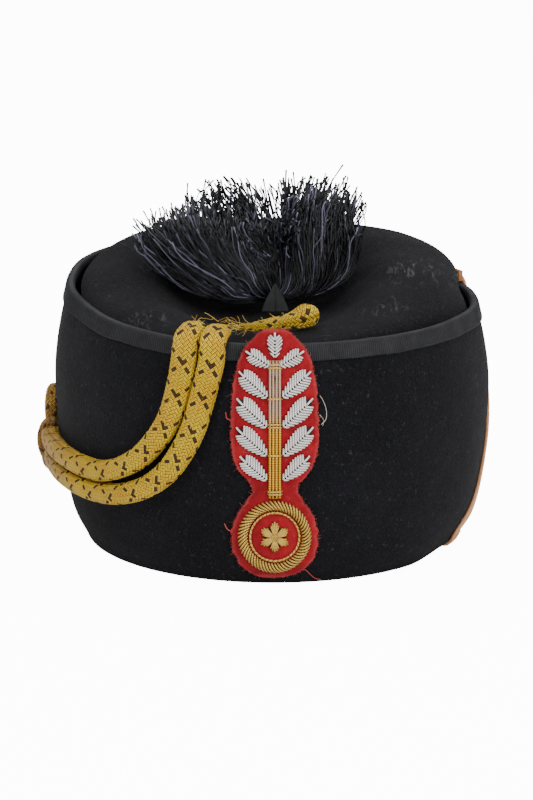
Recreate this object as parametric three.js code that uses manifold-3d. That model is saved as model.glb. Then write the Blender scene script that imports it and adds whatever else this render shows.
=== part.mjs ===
// A soft felt fez, in millimetres, +Z up, the front towards -Y, resting on its folded rim at Z = 0.
// One felt makes the crown and, folded up outside it, the cuff. The cuff's top edge is bound in ribbon.
import * as THREE from "three";
import { mergeVertices } from "three/addons/utils/BufferGeometryUtils.js";
import Module from "manifold-3d";

const wasm = await Module();
wasm.setup();

// The move back that puts the middle of the whole over the origin.
const moveBack = 2;
// The felt and its section at the side of the hat. Widths are half widths of the outer face.
const felt = { thickness: 2, foldRadius: 1.4, segments: 40, lengthExtra: 12.5, bulgeLoss: 0.1 };
const rim = { height: 108.75, meanHeight: 103.8 };
const wallRows = [
  { height: 2.3, halfWidth: 79.8 },
  { height: 12.5, halfWidth: 84.8 },
  { height: 30, halfWidth: 88.6 },
  { height: 58, halfWidth: 91.6 },
  { height: 75, halfWidth: 92.0 },
  { height: 92, halfWidth: 90.0 },
  { height: 108.75, halfWidth: 86.4 },
];
const crownRows = [
  { height: 95, halfWidth: 84 },
  { height: 102.5, halfWidth: 82.4 },
  { height: 108.5, halfWidth: 81.6 },
  { height: 113, halfWidth: 81.4 },
  { height: 117.3, halfWidth: 78 },
  { height: 119.8, halfWidth: 70 },
  { height: 120.4, halfWidth: 60 },
  { height: 117.5, halfWidth: 49 },
  { height: 110.5, halfWidth: 37.5 },
  { height: 104, halfWidth: 25 },
  { height: 101, halfWidth: 12 },
  { height: 100.3, halfWidth: 0 },
];
const strap = {
  width: 10, thickness: 1.4, gap: 0.35, inside: 20,
  rightAngle: 71, rightTop: 113, leftAngle: 216, leftTop: 206,
};
const keeper = { thickness: 1.1, length: 2, clearance: 0.6 };
const binding = { thickness: 0.7, gap: 0.3, outerDrop: 6.3, innerDrop: 4.8 };

// The cord's two runs as angle and height on the cuff, and the cord's half width and half thickness there.
const cord = { gap: 0.4, sides: 8, steps: 34 };
const frontRun = [
  { angle: -15.2, height: 92, halfWidth: 5.3, halfThickness: 2.8 },
  { angle: -16.4, height: 84, halfWidth: 5.3, halfThickness: 2.8 },
  { angle: -17.6, height: 75, halfWidth: 5.2, halfThickness: 2.9 },
  { angle: -19.2, height: 66, halfWidth: 5.1, halfThickness: 3.0 },
  { angle: -22.2, height: 56.5, halfWidth: 4.9, halfThickness: 3.2 },
  { angle: -26.4, height: 47.5, halfWidth: 4.7, halfThickness: 3.4 },
  { angle: -32.5, height: 40, halfWidth: 4.5, halfThickness: 3.6 },
  { angle: -40.5, height: 35, halfWidth: 4.3, halfThickness: 3.8 },
  { angle: -49, height: 33, halfWidth: 4.2, halfThickness: 3.9 },
  { angle: -58, height: 33.2, halfWidth: 4.1, halfThickness: 3.9 },
  { angle: -67, height: 34, halfWidth: 4.0, halfThickness: 3.9 },
  { angle: -76, height: 34.4, halfWidth: 4.0, halfThickness: 3.9 },
  { angle: -84, height: 34.3, halfWidth: 3.9, halfThickness: 3.9 },
  { angle: -90.4, height: 34, halfWidth: 3.7, halfThickness: 3.7 },
];
const backRun = [
  { angle: -22.3, height: 92, halfWidth: 5.3, halfThickness: 2.8 },
  { angle: -23.2, height: 84, halfWidth: 5.3, halfThickness: 2.8 },
  { angle: -24.3, height: 75, halfWidth: 5.2, halfThickness: 2.9 },
  { angle: -26.2, height: 67, halfWidth: 5.0, halfThickness: 3.0 },
  { angle: -29.2, height: 60, halfWidth: 4.8, halfThickness: 3.2 },
  { angle: -33.6, height: 52.6, halfWidth: 4.6, halfThickness: 3.4 },
  { angle: -39.6, height: 46.6, halfWidth: 4.4, halfThickness: 3.6 },
  { angle: -47, height: 42.6, halfWidth: 4.2, halfThickness: 3.8 },
  { angle: -55.5, height: 42.1, halfWidth: 4.1, halfThickness: 3.9 },
  { angle: -65, height: 42.8, halfWidth: 4.0, halfThickness: 3.9 },
  { angle: -75, height: 43, halfWidth: 4.0, halfThickness: 3.9 },
  { angle: -84, height: 42.7, halfWidth: 3.9, halfThickness: 3.9 },
  { angle: -90.4, height: 42.2, halfWidth: 3.7, halfThickness: 3.7 },
];

// The knot at the left side, in millimetres from its middle: forward along the cuff, up it and out of it.
const knot = { angle: -95, height: 35.5, loopRadius: 3.5 };
const knotLumps = [
  { along: 0, rise: 3.2, out: 6.6, size: [5.4, 5.6, 5.9] },
  { along: -2.5, rise: 6, out: 5.2, size: [6, 5, 4.6] },
  { along: 1, rise: -6.5, out: 5, size: [5.4, 7.2, 4.4] },
  { along: -4, rise: -2, out: 4.6, size: [5, 6, 4] },
];
const knotLoop = [
  [-1, 4, 5], [-0.5, 11, 4.4], [-2, 17, 4.2], [-7, 21, 4.2], [-12.5, 19.5, 4.2],
  [-15.5, 13.5, 4.2], [-13.5, 6.5, 4.3], [-8.5, 1.5, 4.6], [-3, -2, 5],
];

// The patch and its embroidery. Half widths of the patch by height, and leaves by place, turn and size.
const patch = { angle: 0.5, gap: 0.5, thickness: 1.2, overBinding: 1.1, thread: 0.3 };
const patchRows = [
  [4.6, 5], [6.5, 10.6], [10, 14.6], [15, 17.2], [21, 18.2], [27, 17.6], [32, 15.6], [36.5, 12.6], [40.5, 9.8],
  [44, 10.4], [48, 13.8], [53, 17.2], [59, 18.6], [65, 18.8], [71, 18.8], [77, 18.6], [83, 18.4], [89, 17.2],
  [94, 15.6], [98, 13.6], [102, 9.6], [105.4, 4.6],
];
const roundel = { height: 22.4, ringRadius: 13.2, ringHalfWidth: 2.1, threadRadius: 10.2, rosetteRadius: 6.6 };
const stem = { bottom: 38.8, top: 93.5, halfWidth: 2.3 };
const leafRows = [
  { across: 8.9, height: 51, lean: 50, length: 14.4, halfWidth: 3.5 },
  { across: 9.6, height: 61.8, lean: 50, length: 16.4, halfWidth: 3.9 },
  { across: 9.6, height: 73, lean: 50, length: 16.4, halfWidth: 3.9 },
  { across: 9.2, height: 84, lean: 52, length: 15.4, halfWidth: 3.7 },
  { across: 7.4, height: 94, lean: 62, length: 11.4, halfWidth: 2.9 },
];
const bud = { height: 99.2, length: 9.4, halfWidth: 3.4 };

// The tassel: a head in the crown's middle and the tips of its locks.
const tassel = { x: 1, y: -10, z: 104.4, headWidth: 8, headHeight: 6.4, lockRadius: 6.4, tipRadius: 2.2 };
const lockTips = [
  [-50, -4, 126], [-45, 12, 133], [-42, -13, 135], [-36, 20, 140], [-33, 0, 145], [-24, -16, 142],
  [-21, 14, 148], [-11, -18, 140], [-9, 2, 150], [-8, 24, 146], [5, -14, 143], [7, 12, 151],
  [9, 28, 142], [18, -10, 147], [21, 6, 151], [22, 22, 146], [31, -3, 149], [35, 13, 149],
  [40, 2, 139], [35, -12, 134], [35, 20, 134], [-29, 28, 130], [18, 32, 129], [-40, -22, 121],
  [-24, -27, 126], [16, -24, 126], [-4, 34, 129], [-2, -26, 128],
];

const degrees = THREE.MathUtils.degToRad;
const smooth = THREE.MathUtils.smoothstep;
const up = new THREE.Vector3(0, 0, 1);

// A curve through rows of height and half width, read by height.
function widthAt(rows, height) {
  const last = rows.length - 1;
  const next = rows.findIndex((row) => row.height > height);
  const at = next < 0 ? last : Math.max(next, 1);
  const a = rows[at - 1];
  const b = rows[at];
  const before = rows[Math.max(at - 2, 0)];
  const after = rows[Math.min(at + 1, last)];
  const slopeA = (b.halfWidth - before.halfWidth) / (b.height - before.height);
  const slopeB = (after.halfWidth - a.halfWidth) / (after.height - a.height);
  const span = b.height - a.height;
  const t = (height - a.height) / span;
  if (t > 1) return b.halfWidth + slopeB * (height - b.height);
  return (
    a.halfWidth * (1 + 2 * t) * (1 - t) ** 2 +
    slopeA * span * t * (1 - t) ** 2 +
    b.halfWidth * t * t * (3 - 2 * t) +
    slopeB * span * t * t * (t - 1)
  );
}

// How the worn felt departs from a plain oval, by the angle round from the front.
const rimHeight = (angle) =>
  rim.meanHeight - 4.7 * Math.cos(angle) - 4.5 * Math.sin(angle) - 0.4 * Math.cos(2 * angle) +
  2.1 * Math.sin(2 * angle);
const crestLift = (angle) =>
  -4.2 - 5 * Math.cos(angle) + 8.5 * Math.sin(angle) - 1.2 * Math.cos(2 * angle) -
  2.6 * Math.sin(2 * angle) + 6 * Math.max(0, Math.cos(angle - degrees(234))) ** 3;
const sideGap = (angle) =>
  2.6 * smooth(-Math.sin(angle), 0.3, 0.95) + 3 * smooth(-Math.cos(angle), -0.25, 0.05);

function archOver(angle) {
  const clear = strap.thickness + 2 * strap.gap;
  const away = (centre) => {
    const turn = Math.abs(THREE.MathUtils.radToDeg(angle) - centre) % 360;
    return Math.min(turn, 360 - turn);
  };
  const nearest = Math.min(away(strap.rightAngle), away(strap.leftAngle));
  return clear * (1 - smooth(nearest, 9, 26));
}

// Lays a point of the nominal section at an angle. crown is 0 on the cuff and 1 on the crown.
function lay(radius, height, angle, crown) {
  const shoulder = 1 - smooth(height, 110, 116);
  const round = 3.4 * smooth(Math.sin(angle), 0.4, 1) * smooth(height, 104, 114) * smooth(radius, 40, 76);
  const across = radius - crown * (sideGap(angle) * smooth(radius, 76, 80) * shoulder + round);
  const extra = felt.lengthExtra * smooth(radius, 0, 75) - felt.bulgeLoss * Math.max(0, radius - 80);
  const scale = THREE.MathUtils.lerp(rim.meanHeight, rimHeight(angle), smooth(radius, 4, 60)) / rim.height;
  const lift = crown * crestLift(angle) * smooth(radius, 5, 42) * smooth(height, 92, 108);
  const arch = archOver(angle) * (1 - smooth(height, 0, 40));
  return new THREE.Vector3(
    across * Math.sin(angle),
    -(across + extra) * Math.cos(angle),
    height * scale + lift + arch,
  );
}

// The felt's own outer face on the cuff: the point, its outward normal, and the way up it.
function onWall(angle, height, off = 0) {
  const place = (a, h) => {
    const nominal = (h * rim.height) / rimHeight(a);
    const base = lay(widthAt(wallRows, Math.max(nominal, 2.3)), 0, a, 0);
    return base.setZ(h);
  };
  const at = place(angle, height);
  const round = place(angle + 0.01, height).sub(place(angle - 0.01, height)).normalize();
  const rise = place(angle, height + 0.5).sub(place(angle, height - 0.5)).normalize();
  const out = new THREE.Vector3().crossVectors(rise, round).normalize();
  if (out.x * at.x + out.y * at.y < 0) out.negate();
  return { at: at.addScaledVector(out, off), out, round, rise };
}

// A closed solid through rings of points. Rings may close on themselves, and else the ends are capped.
function skinRings(rings, loop) {
  const count = rings[0].length;
  const position = rings.flat().flatMap((p) => [p.x, p.y, p.z]);
  const index = [];
  const steps = loop ? rings.length : rings.length - 1;
  for (let i = 0; i < steps; i++) {
    for (let j = 0; j < count; j++) {
      const a = i * count + j;
      const b = i * count + ((j + 1) % count);
      const c = ((i + 1) % rings.length) * count + j;
      const d = ((i + 1) % rings.length) * count + ((j + 1) % count);
      index.push(a, b, d, a, d, c);
    }
  }
  if (!loop) {
    const end = (rings.length - 1) * count;
    for (let j = 1; j < count - 1; j++) {
      index.push(0, j + 1, j, end, end + j, end + j + 1);
    }
  }
  return facingOut(position, index);
}

function facingOut(position, index) {
  let volume = 0;
  const p = (i) => new THREE.Vector3().fromArray(position, index[i] * 3);
  for (let i = 0; i < index.length; i += 3) volume += p(i).dot(p(i + 1).cross(p(i + 2)));
  if (volume < 0) index.reverse();
  const made = new THREE.BufferGeometry();
  made.setAttribute("position", new THREE.Float32BufferAttribute(position, 3));
  made.setIndex(index);
  made.computeVertexNormals();
  return made;
}

// Sweeps a flat outline of (across, out) pairs along frames of { at, across, out }.
function sweep(frames, outline) {
  const rings = frames.map((frame) =>
    outline.map(([a, o]) =>
      frame.at.clone().addScaledVector(frame.across, a).addScaledVector(frame.out, o),
    ),
  );
  return skinRings(rings, false);
}

function ellipseOutline(halfWidth, halfThickness, sides) {
  return Array.from({ length: sides }, (_, i) => {
    const turn = ((i + 0.5) / sides) * 2 * Math.PI;
    return [halfWidth * Math.cos(turn), halfThickness * Math.sin(turn)];
  });
}

// Frames along a smooth curve through points that each know their own outward direction.
function framesThrough(points, steps) {
  const line = new THREE.CatmullRomCurve3(points.map((p) => p.at), false, "centripetal");
  const outs = new THREE.CatmullRomCurve3(points.map((p) => p.out), false, "centripetal");
  return Array.from({ length: steps + 1 }, (_, i) => {
    const t = i / steps;
    const along = line.getTangent(t);
    const out = outs.getPoint(t);
    out.addScaledVector(along, -out.dot(along)).normalize();
    return { at: line.getPoint(t), out, across: new THREE.Vector3().crossVectors(along, out).normalize() };
  });
}

// Joins closed geometries into one solid.
function fuse(geometries) {
  const solid = wasm.Manifold.union(geometries.map(toSolid));
  const mesh = solid.getMesh();
  const made = new THREE.BufferGeometry();
  made.setAttribute("position", new THREE.BufferAttribute(Float32Array.from(mesh.vertProperties), 3));
  made.setIndex(new THREE.BufferAttribute(Uint32Array.from(mesh.triVerts), 1));
  made.computeVertexNormals();
  return made;
}

function toSolid(geometry) {
  const bare = new THREE.BufferGeometry();
  bare.setAttribute("position", geometry.getAttribute("position"));
  bare.setIndex(geometry.index);
  const merged = mergeVertices(bare, 1e-3);
  return new wasm.Manifold(
    new wasm.Mesh({
      numProp: 3,
      vertProperties: Float32Array.from(merged.attributes.position.array),
      triVerts: Uint32Array.from(merged.index.array),
    }),
  );
}

// The middle line of the felt's section: from the cuff's top edge down, round the fold and up to the
// crown's centre.
function feltMiddle() {
  const half = felt.thickness / 2;
  const cuffHeights = [108.75, 97, 82, 66, 48, 30, 14];
  const innerHeights = [9, 30, 56, 82];
  const middle = cuffHeights.map((h) => ({ r: widthAt(wallRows, h) - half, h, crown: 0 }));
  const foldOut = felt.foldRadius + half;
  const centre = { r: widthAt(wallRows, 2.3) - foldOut, h: foldOut * Math.cos(Math.PI / 10) };
  for (let i = 0; i <= 5; i++) {
    const turn = (-i * Math.PI) / 5;
    middle.push({
      r: centre.r + felt.foldRadius * Math.cos(turn),
      h: centre.h + felt.foldRadius * Math.sin(turn),
      crown: 0,
    });
  }
  for (const h of innerHeights) {
    middle.push({ r: widthAt(wallRows, h) - half - 2 * felt.foldRadius, h, crown: smooth(h, 60, 100) });
  }
  for (const row of crownRows) {
    middle.push({ r: row.halfWidth, h: row.height, crown: smooth(row.height, 60, 97) });
  }
  return middle;
}

function feltBody() {
  const middle = feltMiddle();
  const half = felt.thickness / 2;
  const skin = (side) =>
    middle.map((point, i) => {
      const a = middle[Math.max(i - 1, 0)];
      const b = middle[Math.min(i + 1, middle.length - 1)];
      const long = Math.hypot(b.r - a.r, b.h - a.h);
      const out = { r: (-(b.h - a.h) / long) * half * side, h: ((b.r - a.r) / long) * half * side };
      const onAxis = point.r === 0;
      return {
        r: onAxis ? 0 : point.r + out.r,
        h: onAxis ? point.h - half * side : point.h + out.h,
        crown: point.crown,
      };
    });
  const section = [...skin(1).reverse(), ...skin(-1)];
  const lathe = new THREE.LatheGeometry(section.map((p) => new THREE.Vector2(p.r, p.h)), felt.segments);
  const place = lathe.getAttribute("position");
  for (let i = 0; i < place.count; i++) {
    const row = section[i % section.length];
    const angle = Math.atan2(place.getX(i), place.getZ(i));
    const p = lay(row.r, row.h, angle, row.crown);
    place.setXYZ(i, p.x, p.y, p.z);
  }
  return facingOut([...place.array], [...lathe.index.array]);
}

// The ribbon's section rides on the cuff's own nominal section, so it follows every dip of the edge.
function edgeBinding() {
  const { thickness: t, gap: g } = binding;
  const topEdge = rim.height + 0.2;
  const outer = (h, off) => [widthAt(wallRows, Math.min(h, topEdge)) + off, h];
  const inner = (h, off) => [widthAt(wallRows, Math.min(h, topEdge)) - felt.thickness - off, h];
  const outerEnd = topEdge - binding.outerDrop;
  const innerEnd = topEdge - binding.innerDrop;
  const section = [
    outer(outerEnd, g), outer(outerEnd, g + t), outer(topEdge - 2.5, g + t), outer(topEdge + 0.4, g + t),
    outer(topEdge + g + t, 0.1), inner(topEdge + g + t, 0.1), inner(topEdge + 0.4, g + t + 0.1),
    inner(innerEnd, g + t + 0.2), inner(innerEnd, g + 0.2), inner(topEdge + g, g), outer(topEdge + g, g),
    outer(topEdge - 2.5, g),
  ];
  const rings = Array.from({ length: felt.segments }, (_, i) => {
    const angle = (i / felt.segments) * 2 * Math.PI;
    return section.map(([r, h]) => lay(r, h, angle, 0));
  });
  return skinRings(rings, true);
}

// A run of the cord: over the cuff's top edge from the crown's front, then down and round the cuff.
function cordRun(rows) {
  const size = (row) => [row.halfWidth, row.halfThickness];
  const first = rows[0];
  const angle = degrees(first.angle);
  const edge = rimHeight(angle);
  const ribbon = binding.gap + binding.thickness;
  const over = (radius, height) => {
    const at = lay(radius, rim.height, angle, 0).setZ(height);
    return { at, size: size(first) };
  };
  const half = first.halfThickness + cord.gap;
  const top = [
    { ...over(79.5, edge + ribbon + half + 0.9), out: [0, 0, 1] },
    { ...over(84.4, edge + ribbon + half + 0.5), out: [0, -0.05, 1] },
    { ...over(90.2, edge + ribbon + half - 2.2), out: [0, -0.75, 0.7] },
  ];
  const bend = top.map((p) => ({ ...p, out: new THREE.Vector3(...p.out).applyAxisAngle(up, angle) }));
  const wall = rows.map((row, i) => {
    const off = row.halfThickness + cord.gap + (i === 0 ? ribbon + 0.5 : 0);
    const { at, out } = onWall(degrees(row.angle), row.height, off);
    return { at, out, size: size(row) };
  });
  return [...bend, ...wall];
}

function cordFrames(points) {
  const frames = framesThrough(points, cord.steps);
  const pairs = points.map((p) => new THREE.Vector3(...p.size, 0));
  const sizes = new THREE.CatmullRomCurve3(pairs, false, "centripetal");
  return frames.map((frame, i) => ({ ...frame, size: sizes.getPoint(i / cord.steps) }));
}

function cordMesh(frames) {
  const rings = frames.map((frame) =>
    ellipseOutline(frame.size.x, frame.size.y, cord.sides).map(([a, o]) =>
      frame.at.clone().addScaledVector(frame.across, a).addScaledVector(frame.out, o),
    ),
  );
  return skinRings(rings, false);
}

// A point beside the knot's middle, on the cuff's own curve.
function byKnot(along, rise, out) {
  return onWall(degrees(knot.angle) + along / 92, knot.height + rise, out).at;
}

function sideKnot() {
  const lumps = knotLumps.map(({ along, rise, out, size }) => {
    const ball = new THREE.SphereGeometry(1, 9, 6);
    const place = ball.getAttribute("position");
    for (let i = 0; i < place.count; i++) {
      const offset = [place.getX(i) * size[0], place.getY(i) * size[1], place.getZ(i) * size[2]];
      const p = byKnot(along + offset[0], rise + offset[1], out + offset[2]);
      place.setXYZ(i, p.x, p.y, p.z);
    }
    return ball;
  });
  const line = new THREE.CatmullRomCurve3(knotLoop.map((p) => byKnot(...p)));
  const rings = tubeRings(line, 14, () => knot.loopRadius, 7);
  return fuse([...lumps, skinRings(rings, false)]);
}

// Round rings along a curve, with a radius for each share of its length.
function tubeRings(line, steps, radiusAt, sides) {
  const { tangents, normals, binormals } = line.computeFrenetFrames(steps);
  return tangents.map((_, i) => {
    const at = line.getPointAt(i / steps);
    return ellipseOutline(radiusAt(i / steps), radiusAt(i / steps), sides).map(([a, o]) =>
      at.clone().addScaledVector(normals[i], a).addScaledVector(binormals[i], o),
    );
  });
}

// The cord's bare end lies across the front crest, thick at the right and frayed out thin at the left.
function cordTip() {
  const rows = [
    [-14, -77.5, 102.6, 1.5], [-8, -77.2, 103.2, 2.4], [-1, -76.6, 104, 3.0], [6, -75.4, 104.8, 3.3],
    [11.5, -73.6, 105.6, 4.0], [15.6, -71, 106.6, 4.2], [17.6, -67.4, 107.2, 3.4],
  ];
  const line = new THREE.CatmullRomCurve3(rows.map(([x, y, z]) => new THREE.Vector3(x, y, z)));
  const girth = new THREE.CatmullRomCurve3(rows.map((row) => new THREE.Vector3(row[3], 0, 0)));
  return skinRings(tubeRings(line, 14, (t) => girth.getPoint(t).x, 8), false);
}

// How far the patch stands off the cuff at a height: it climbs over the ribbon near the top.
function patchOff(height) {
  const foot = rimHeight(degrees(patch.angle)) - binding.outerDrop;
  return patch.gap + patch.overBinding * smooth(height, foot - 5.5, foot - 1.2);
}

function onPatch(across, height, off) {
  const angle = degrees(patch.angle) + across / (76 + felt.lengthExtra + 12 * smooth(height, 0, 50));
  return onWall(angle, height, patchOff(height) + off).at;
}

function badgePatch() {
  const columns = 6;
  const rings = patchRows.map(([height, halfWidth]) => {
    const row = (off) =>
      Array.from({ length: columns + 1 }, (_, i) => onPatch(halfWidth * ((2 * i) / columns - 1), height, off));
    return [...row(0), ...row(patch.thickness).reverse()];
  });
  return skinRings(rings, false);
}

// A low cushion on the patch over a star-shaped outline of (across, height) points.
function cushion(outline, centre, thickness) {
  const base = patch.thickness + patch.thread + 0.25 * smooth(centre[1], 78, 84);
  const [x, y] = centre;
  const ring = (scale, off) => outline.map(([a, h]) => onPatch(x + (a - x) * scale, y + (h - y) * scale, off));
  const rings = [ring(1, base), ring(1, base + thickness * 0.45), ring(0.7, base + thickness * 0.9)];
  const count = outline.length;
  const points = [...rings.flat(), onPatch(...centre, base), onPatch(...centre, base + thickness)];
  const bottom = rings.length * count;
  const index = [];
  for (let j = 0; j < count; j++) {
    const k = (j + 1) % count;
    index.push(bottom, k, j);
    for (let i = 0; i < rings.length - 1; i++) {
      const [a, b, c, d] = [i * count + j, i * count + k, (i + 1) * count + j, (i + 1) * count + k];
      index.push(a, b, d, a, d, c);
    }
    index.push((rings.length - 1) * count + j, (rings.length - 1) * count + k, bottom + 1);
  }
  return facingOut(points.flatMap((p) => [p.x, p.y, p.z]), index);
}

function leaf(across, height, lean, length, halfWidth) {
  const turn = degrees(lean);
  const outline = [
    [0, -0.5], [0.75, -0.3], [1, 0.02], [0.78, 0.3], [0, 0.54], [-0.78, 0.3], [-1, 0.02], [-0.75, -0.3],
  ].map(([a, h]) => {
    const [x, y] = [a * halfWidth, h * length];
    return [across + x * Math.cos(turn) + y * Math.sin(turn), height - x * Math.sin(turn) + y * Math.cos(turn)];
  });
  return cushion(outline, [across, height], 1.7);
}

// A ring of thread on the patch, round the roundel's middle.
function threadRing(radius, halfWidth, halfThickness, count) {
  const rings = Array.from({ length: count }, (_, i) => {
    const turn = (i / count) * 2 * Math.PI;
    return ellipseOutline(halfWidth, halfThickness, 6).map(([a, o]) =>
      onPatch(
        (radius + a) * Math.sin(turn),
        roundel.height - (radius + a) * Math.cos(turn),
        patch.thickness + patch.thread + halfThickness + o,
      ),
    );
  });
  return skinRings(rings, true);
}

function rosette() {
  const outline = Array.from({ length: 24 }, (_, i) => {
    const turn = (i / 24) * 2 * Math.PI;
    const r = roundel.rosetteRadius * (0.86 + 0.14 * Math.cos(6 * turn));
    return [r * Math.sin(turn), roundel.height + r * Math.cos(turn)];
  });
  return cushion(outline, [0, roundel.height], 1.6);
}

function badgeStem() {
  const rows = Array.from({ length: 11 }, (_, i) => THREE.MathUtils.lerp(stem.bottom, stem.top, i / 10));
  const rings = rows.map((height) =>
    ellipseOutline(stem.halfWidth, 0.9, 6).map(([a, o]) =>
      onPatch(a, height, patch.thickness + patch.thread + 1.05 + o),
    ),
  );
  return skinRings(rings, false);
}

// Locks that rise from the head and fall outwards, joined to it as one.
function tasselBody() {
  const start = new THREE.Vector3(tassel.x, tassel.y, tassel.z);
  const head = new THREE.SphereGeometry(1, 12, 8).scale(tassel.headWidth, tassel.headWidth, tassel.headHeight);
  head.translate(...start);
  const locks = lockTips.map(([x, y, z]) => {
    const tip = new THREE.Vector3(x, y, z);
    const away = tip.clone().sub(start);
    const way = [
      start.clone().addScaledVector(away, 0.06),
      start.clone().add(new THREE.Vector3(away.x * 0.3, away.y * 0.3, away.z * 0.42)),
      start.clone().add(new THREE.Vector3(away.x * 0.64, away.y * 0.64, away.z * 0.8)),
      tip,
    ];
    const fullness = (t) => Math.sin(Math.PI * (0.22 + 0.7 * t));
    const radius = (t) => tassel.tipRadius + (tassel.lockRadius - tassel.tipRadius) * fullness(t);
    return skinRings(tubeRings(new THREE.CatmullRomCurve3(way), 4, radius, 5), false);
  });
  return fuse([head, ...locks]);
}

// A folded tab of ribbon that stands in front of the tassel's head.
function tasselTab() {
  const outline = new THREE.Shape([
    [-5.6, 0], [5.6, 0], [5.2, 1.4], [1.1, 10.4], [0, 11.2], [-1.1, 10.4], [-5.2, 1.4],
  ].map(([x, y]) => new THREE.Vector2(x, y)));
  const tab = new THREE.ExtrudeGeometry(outline, {
    depth: 1.2, bevelEnabled: true, bevelThickness: 0.4, bevelSize: 0.4, bevelSegments: 1,
  });
  tab.rotateX(Math.PI / 2 - 0.12);
  tab.translate(1, -21.6, 98.9);
  return mergeVertices(tab.deleteAttribute("uv").deleteAttribute("normal"), 1e-3);
}

// One side of the strap, from its sewn end inside, under the fold, up the cuff and over the ribbon into
// the gap.
function strapSide(bottom, top) {
  const half = strap.thickness / 2 + strap.gap;
  const foldOut = felt.foldRadius + felt.thickness / 2;
  const centre = { r: widthAt(wallRows, 2.3) - foldOut, h: foldOut * Math.cos(Math.PI / 10) };
  const point = (r, h, angle, outAcross, outUp) => ({
    at: lay(r, h, degrees(angle), 0),
    out: new THREE.Vector3(0, -outAcross, outUp).applyAxisAngle(up, degrees(angle)),
  });
  const inside = [strap.inside, 14, 8].map((h) =>
    point(widthAt(wallRows, h) - felt.thickness - 2 * felt.foldRadius - half - 1.5, h, bottom, -1, 0),
  );
  const under = [-155, -122, -90, -58, -25].map((turn) => {
    const [c, s] = [Math.cos(degrees(turn)), Math.sin(degrees(turn))];
    const reach = foldOut + half + (c < -0.3 ? 1.2 : 0);
    return point(centre.r + reach * c, centre.h + (foldOut + half) * s, bottom, c, s);
  });
  const wall = [8, 16, 28, 42, 56, 70, 82, 90].map((height, i) => {
    const share = Math.min(1, (height - 8) / 82) ** 0.85;
    return onWall(degrees(THREE.MathUtils.lerp(bottom, top, share)), height, half + (i === 7 ? 0.5 : 0));
  });
  const ribbon = binding.gap + binding.thickness + half + 0.25;
  const edge = rim.height;
  const over = [
    point(widthAt(wallRows, edge - 5) + ribbon + 0.1, edge - 5, top, 1, 0),
    point(widthAt(wallRows, edge) + ribbon, edge + 0.9, top, 0.95, 0.3),
    point(widthAt(wallRows, edge) + 0.3, edge + ribbon + keeper.thickness + 0.8, top, 0.3, 1),
    point(widthAt(wallRows, edge) - 1, edge + ribbon + keeper.thickness + 0.9, top, 0, 1),
    point(widthAt(wallRows, edge) - 2.3, edge + ribbon + keeper.thickness + 0.8, top, -0.3, 1),
    point(widthAt(wallRows, edge) - felt.thickness - ribbon - 0.6, edge + 0.6, top, -0.95, 0.2),
  ];
  return [...inside, ...under, ...wall, ...over];
}

const gapRadius = (height) => 81.3 + 0.23 * (rim.height - height);

function inGap(angle, height) {
  return {
    at: lay(gapRadius(height), height, degrees(angle), 0),
    out: new THREE.Vector3(0, 1, -0.23).normalize().applyAxisAngle(up, degrees(angle)),
  };
}

// The whole strap, up the right side, round the back between crown and cuff, and down the left.
function chinStrap() {
  const turnIn = [[0.3, 105.4], [1.3, 102.4], [3, 100.4], [5.6, 99.5], [10, 99.3]];
  const right = turnIn.map(([ahead, h]) => inGap(strap.rightTop + ahead, h));
  const back = [132, 145, 158, 171, 184].map((angle) => inGap(angle, 99.3));
  const left = turnIn.map(([ahead, h]) => inGap(strap.leftTop - ahead, h)).reverse();
  const points = [
    ...strapSide(strap.rightAngle, strap.rightTop),
    ...right,
    ...back,
    ...left,
    ...strapSide(strap.leftAngle, strap.leftTop).reverse(),
  ];
  const [w, t] = [strap.width / 2, strap.thickness / 2];
  return sweep(framesThrough(points, 92), [[-w, -t], [w, -t], [w, t], [-w, t]]);
}

// A small leather loop round the strap where it crosses the ribbon at the right.
function strapKeeper() {
  const angle = degrees(strap.rightTop);
  const ribbon = binding.gap + binding.thickness + strap.gap + strap.thickness / 2 + 0.25;
  const at = lay(widthAt(wallRows, rim.height) - 1, rim.height + ribbon + keeper.thickness + 0.9, angle, 0);
  const radial = new THREE.Vector3(0, -1, 0).applyAxisAngle(up, angle);
  const round = new THREE.Vector3(1, 0, 0).applyAxisAngle(up, angle);
  const [w, t] = [strap.width / 2 + keeper.clearance, strap.thickness / 2 + keeper.clearance - 0.1];
  const corners = [[-w, -t], [w, -t], [w, t], [-w, t]];
  const rings = corners.map(([a, o]) => {
    const grow = [a + Math.sign(a) * keeper.thickness, o + Math.sign(o) * keeper.thickness];
    return [[a, o, -1], [...grow, -1], [...grow, 1], [a, o, 1]].map(([across, out, side]) =>
      at.clone().addScaledVector(round, across).addScaledVector(up, out)
        .addScaledVector(radial, (side * keeper.length) / 2),
    );
  });
  return skinRings(rings, true);
}

const hat = new THREE.Group();
function add(name, geometry, colour, roughness = 0.9, metalness = 0) {
  geometry.translate(0, moveBack, 0);
  const material = new THREE.MeshStandardMaterial({ color: colour, roughness, metalness });
  const mesh = new THREE.Mesh(geometry, material);
  mesh.name = name;
  hat.add(mesh);
}

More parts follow.
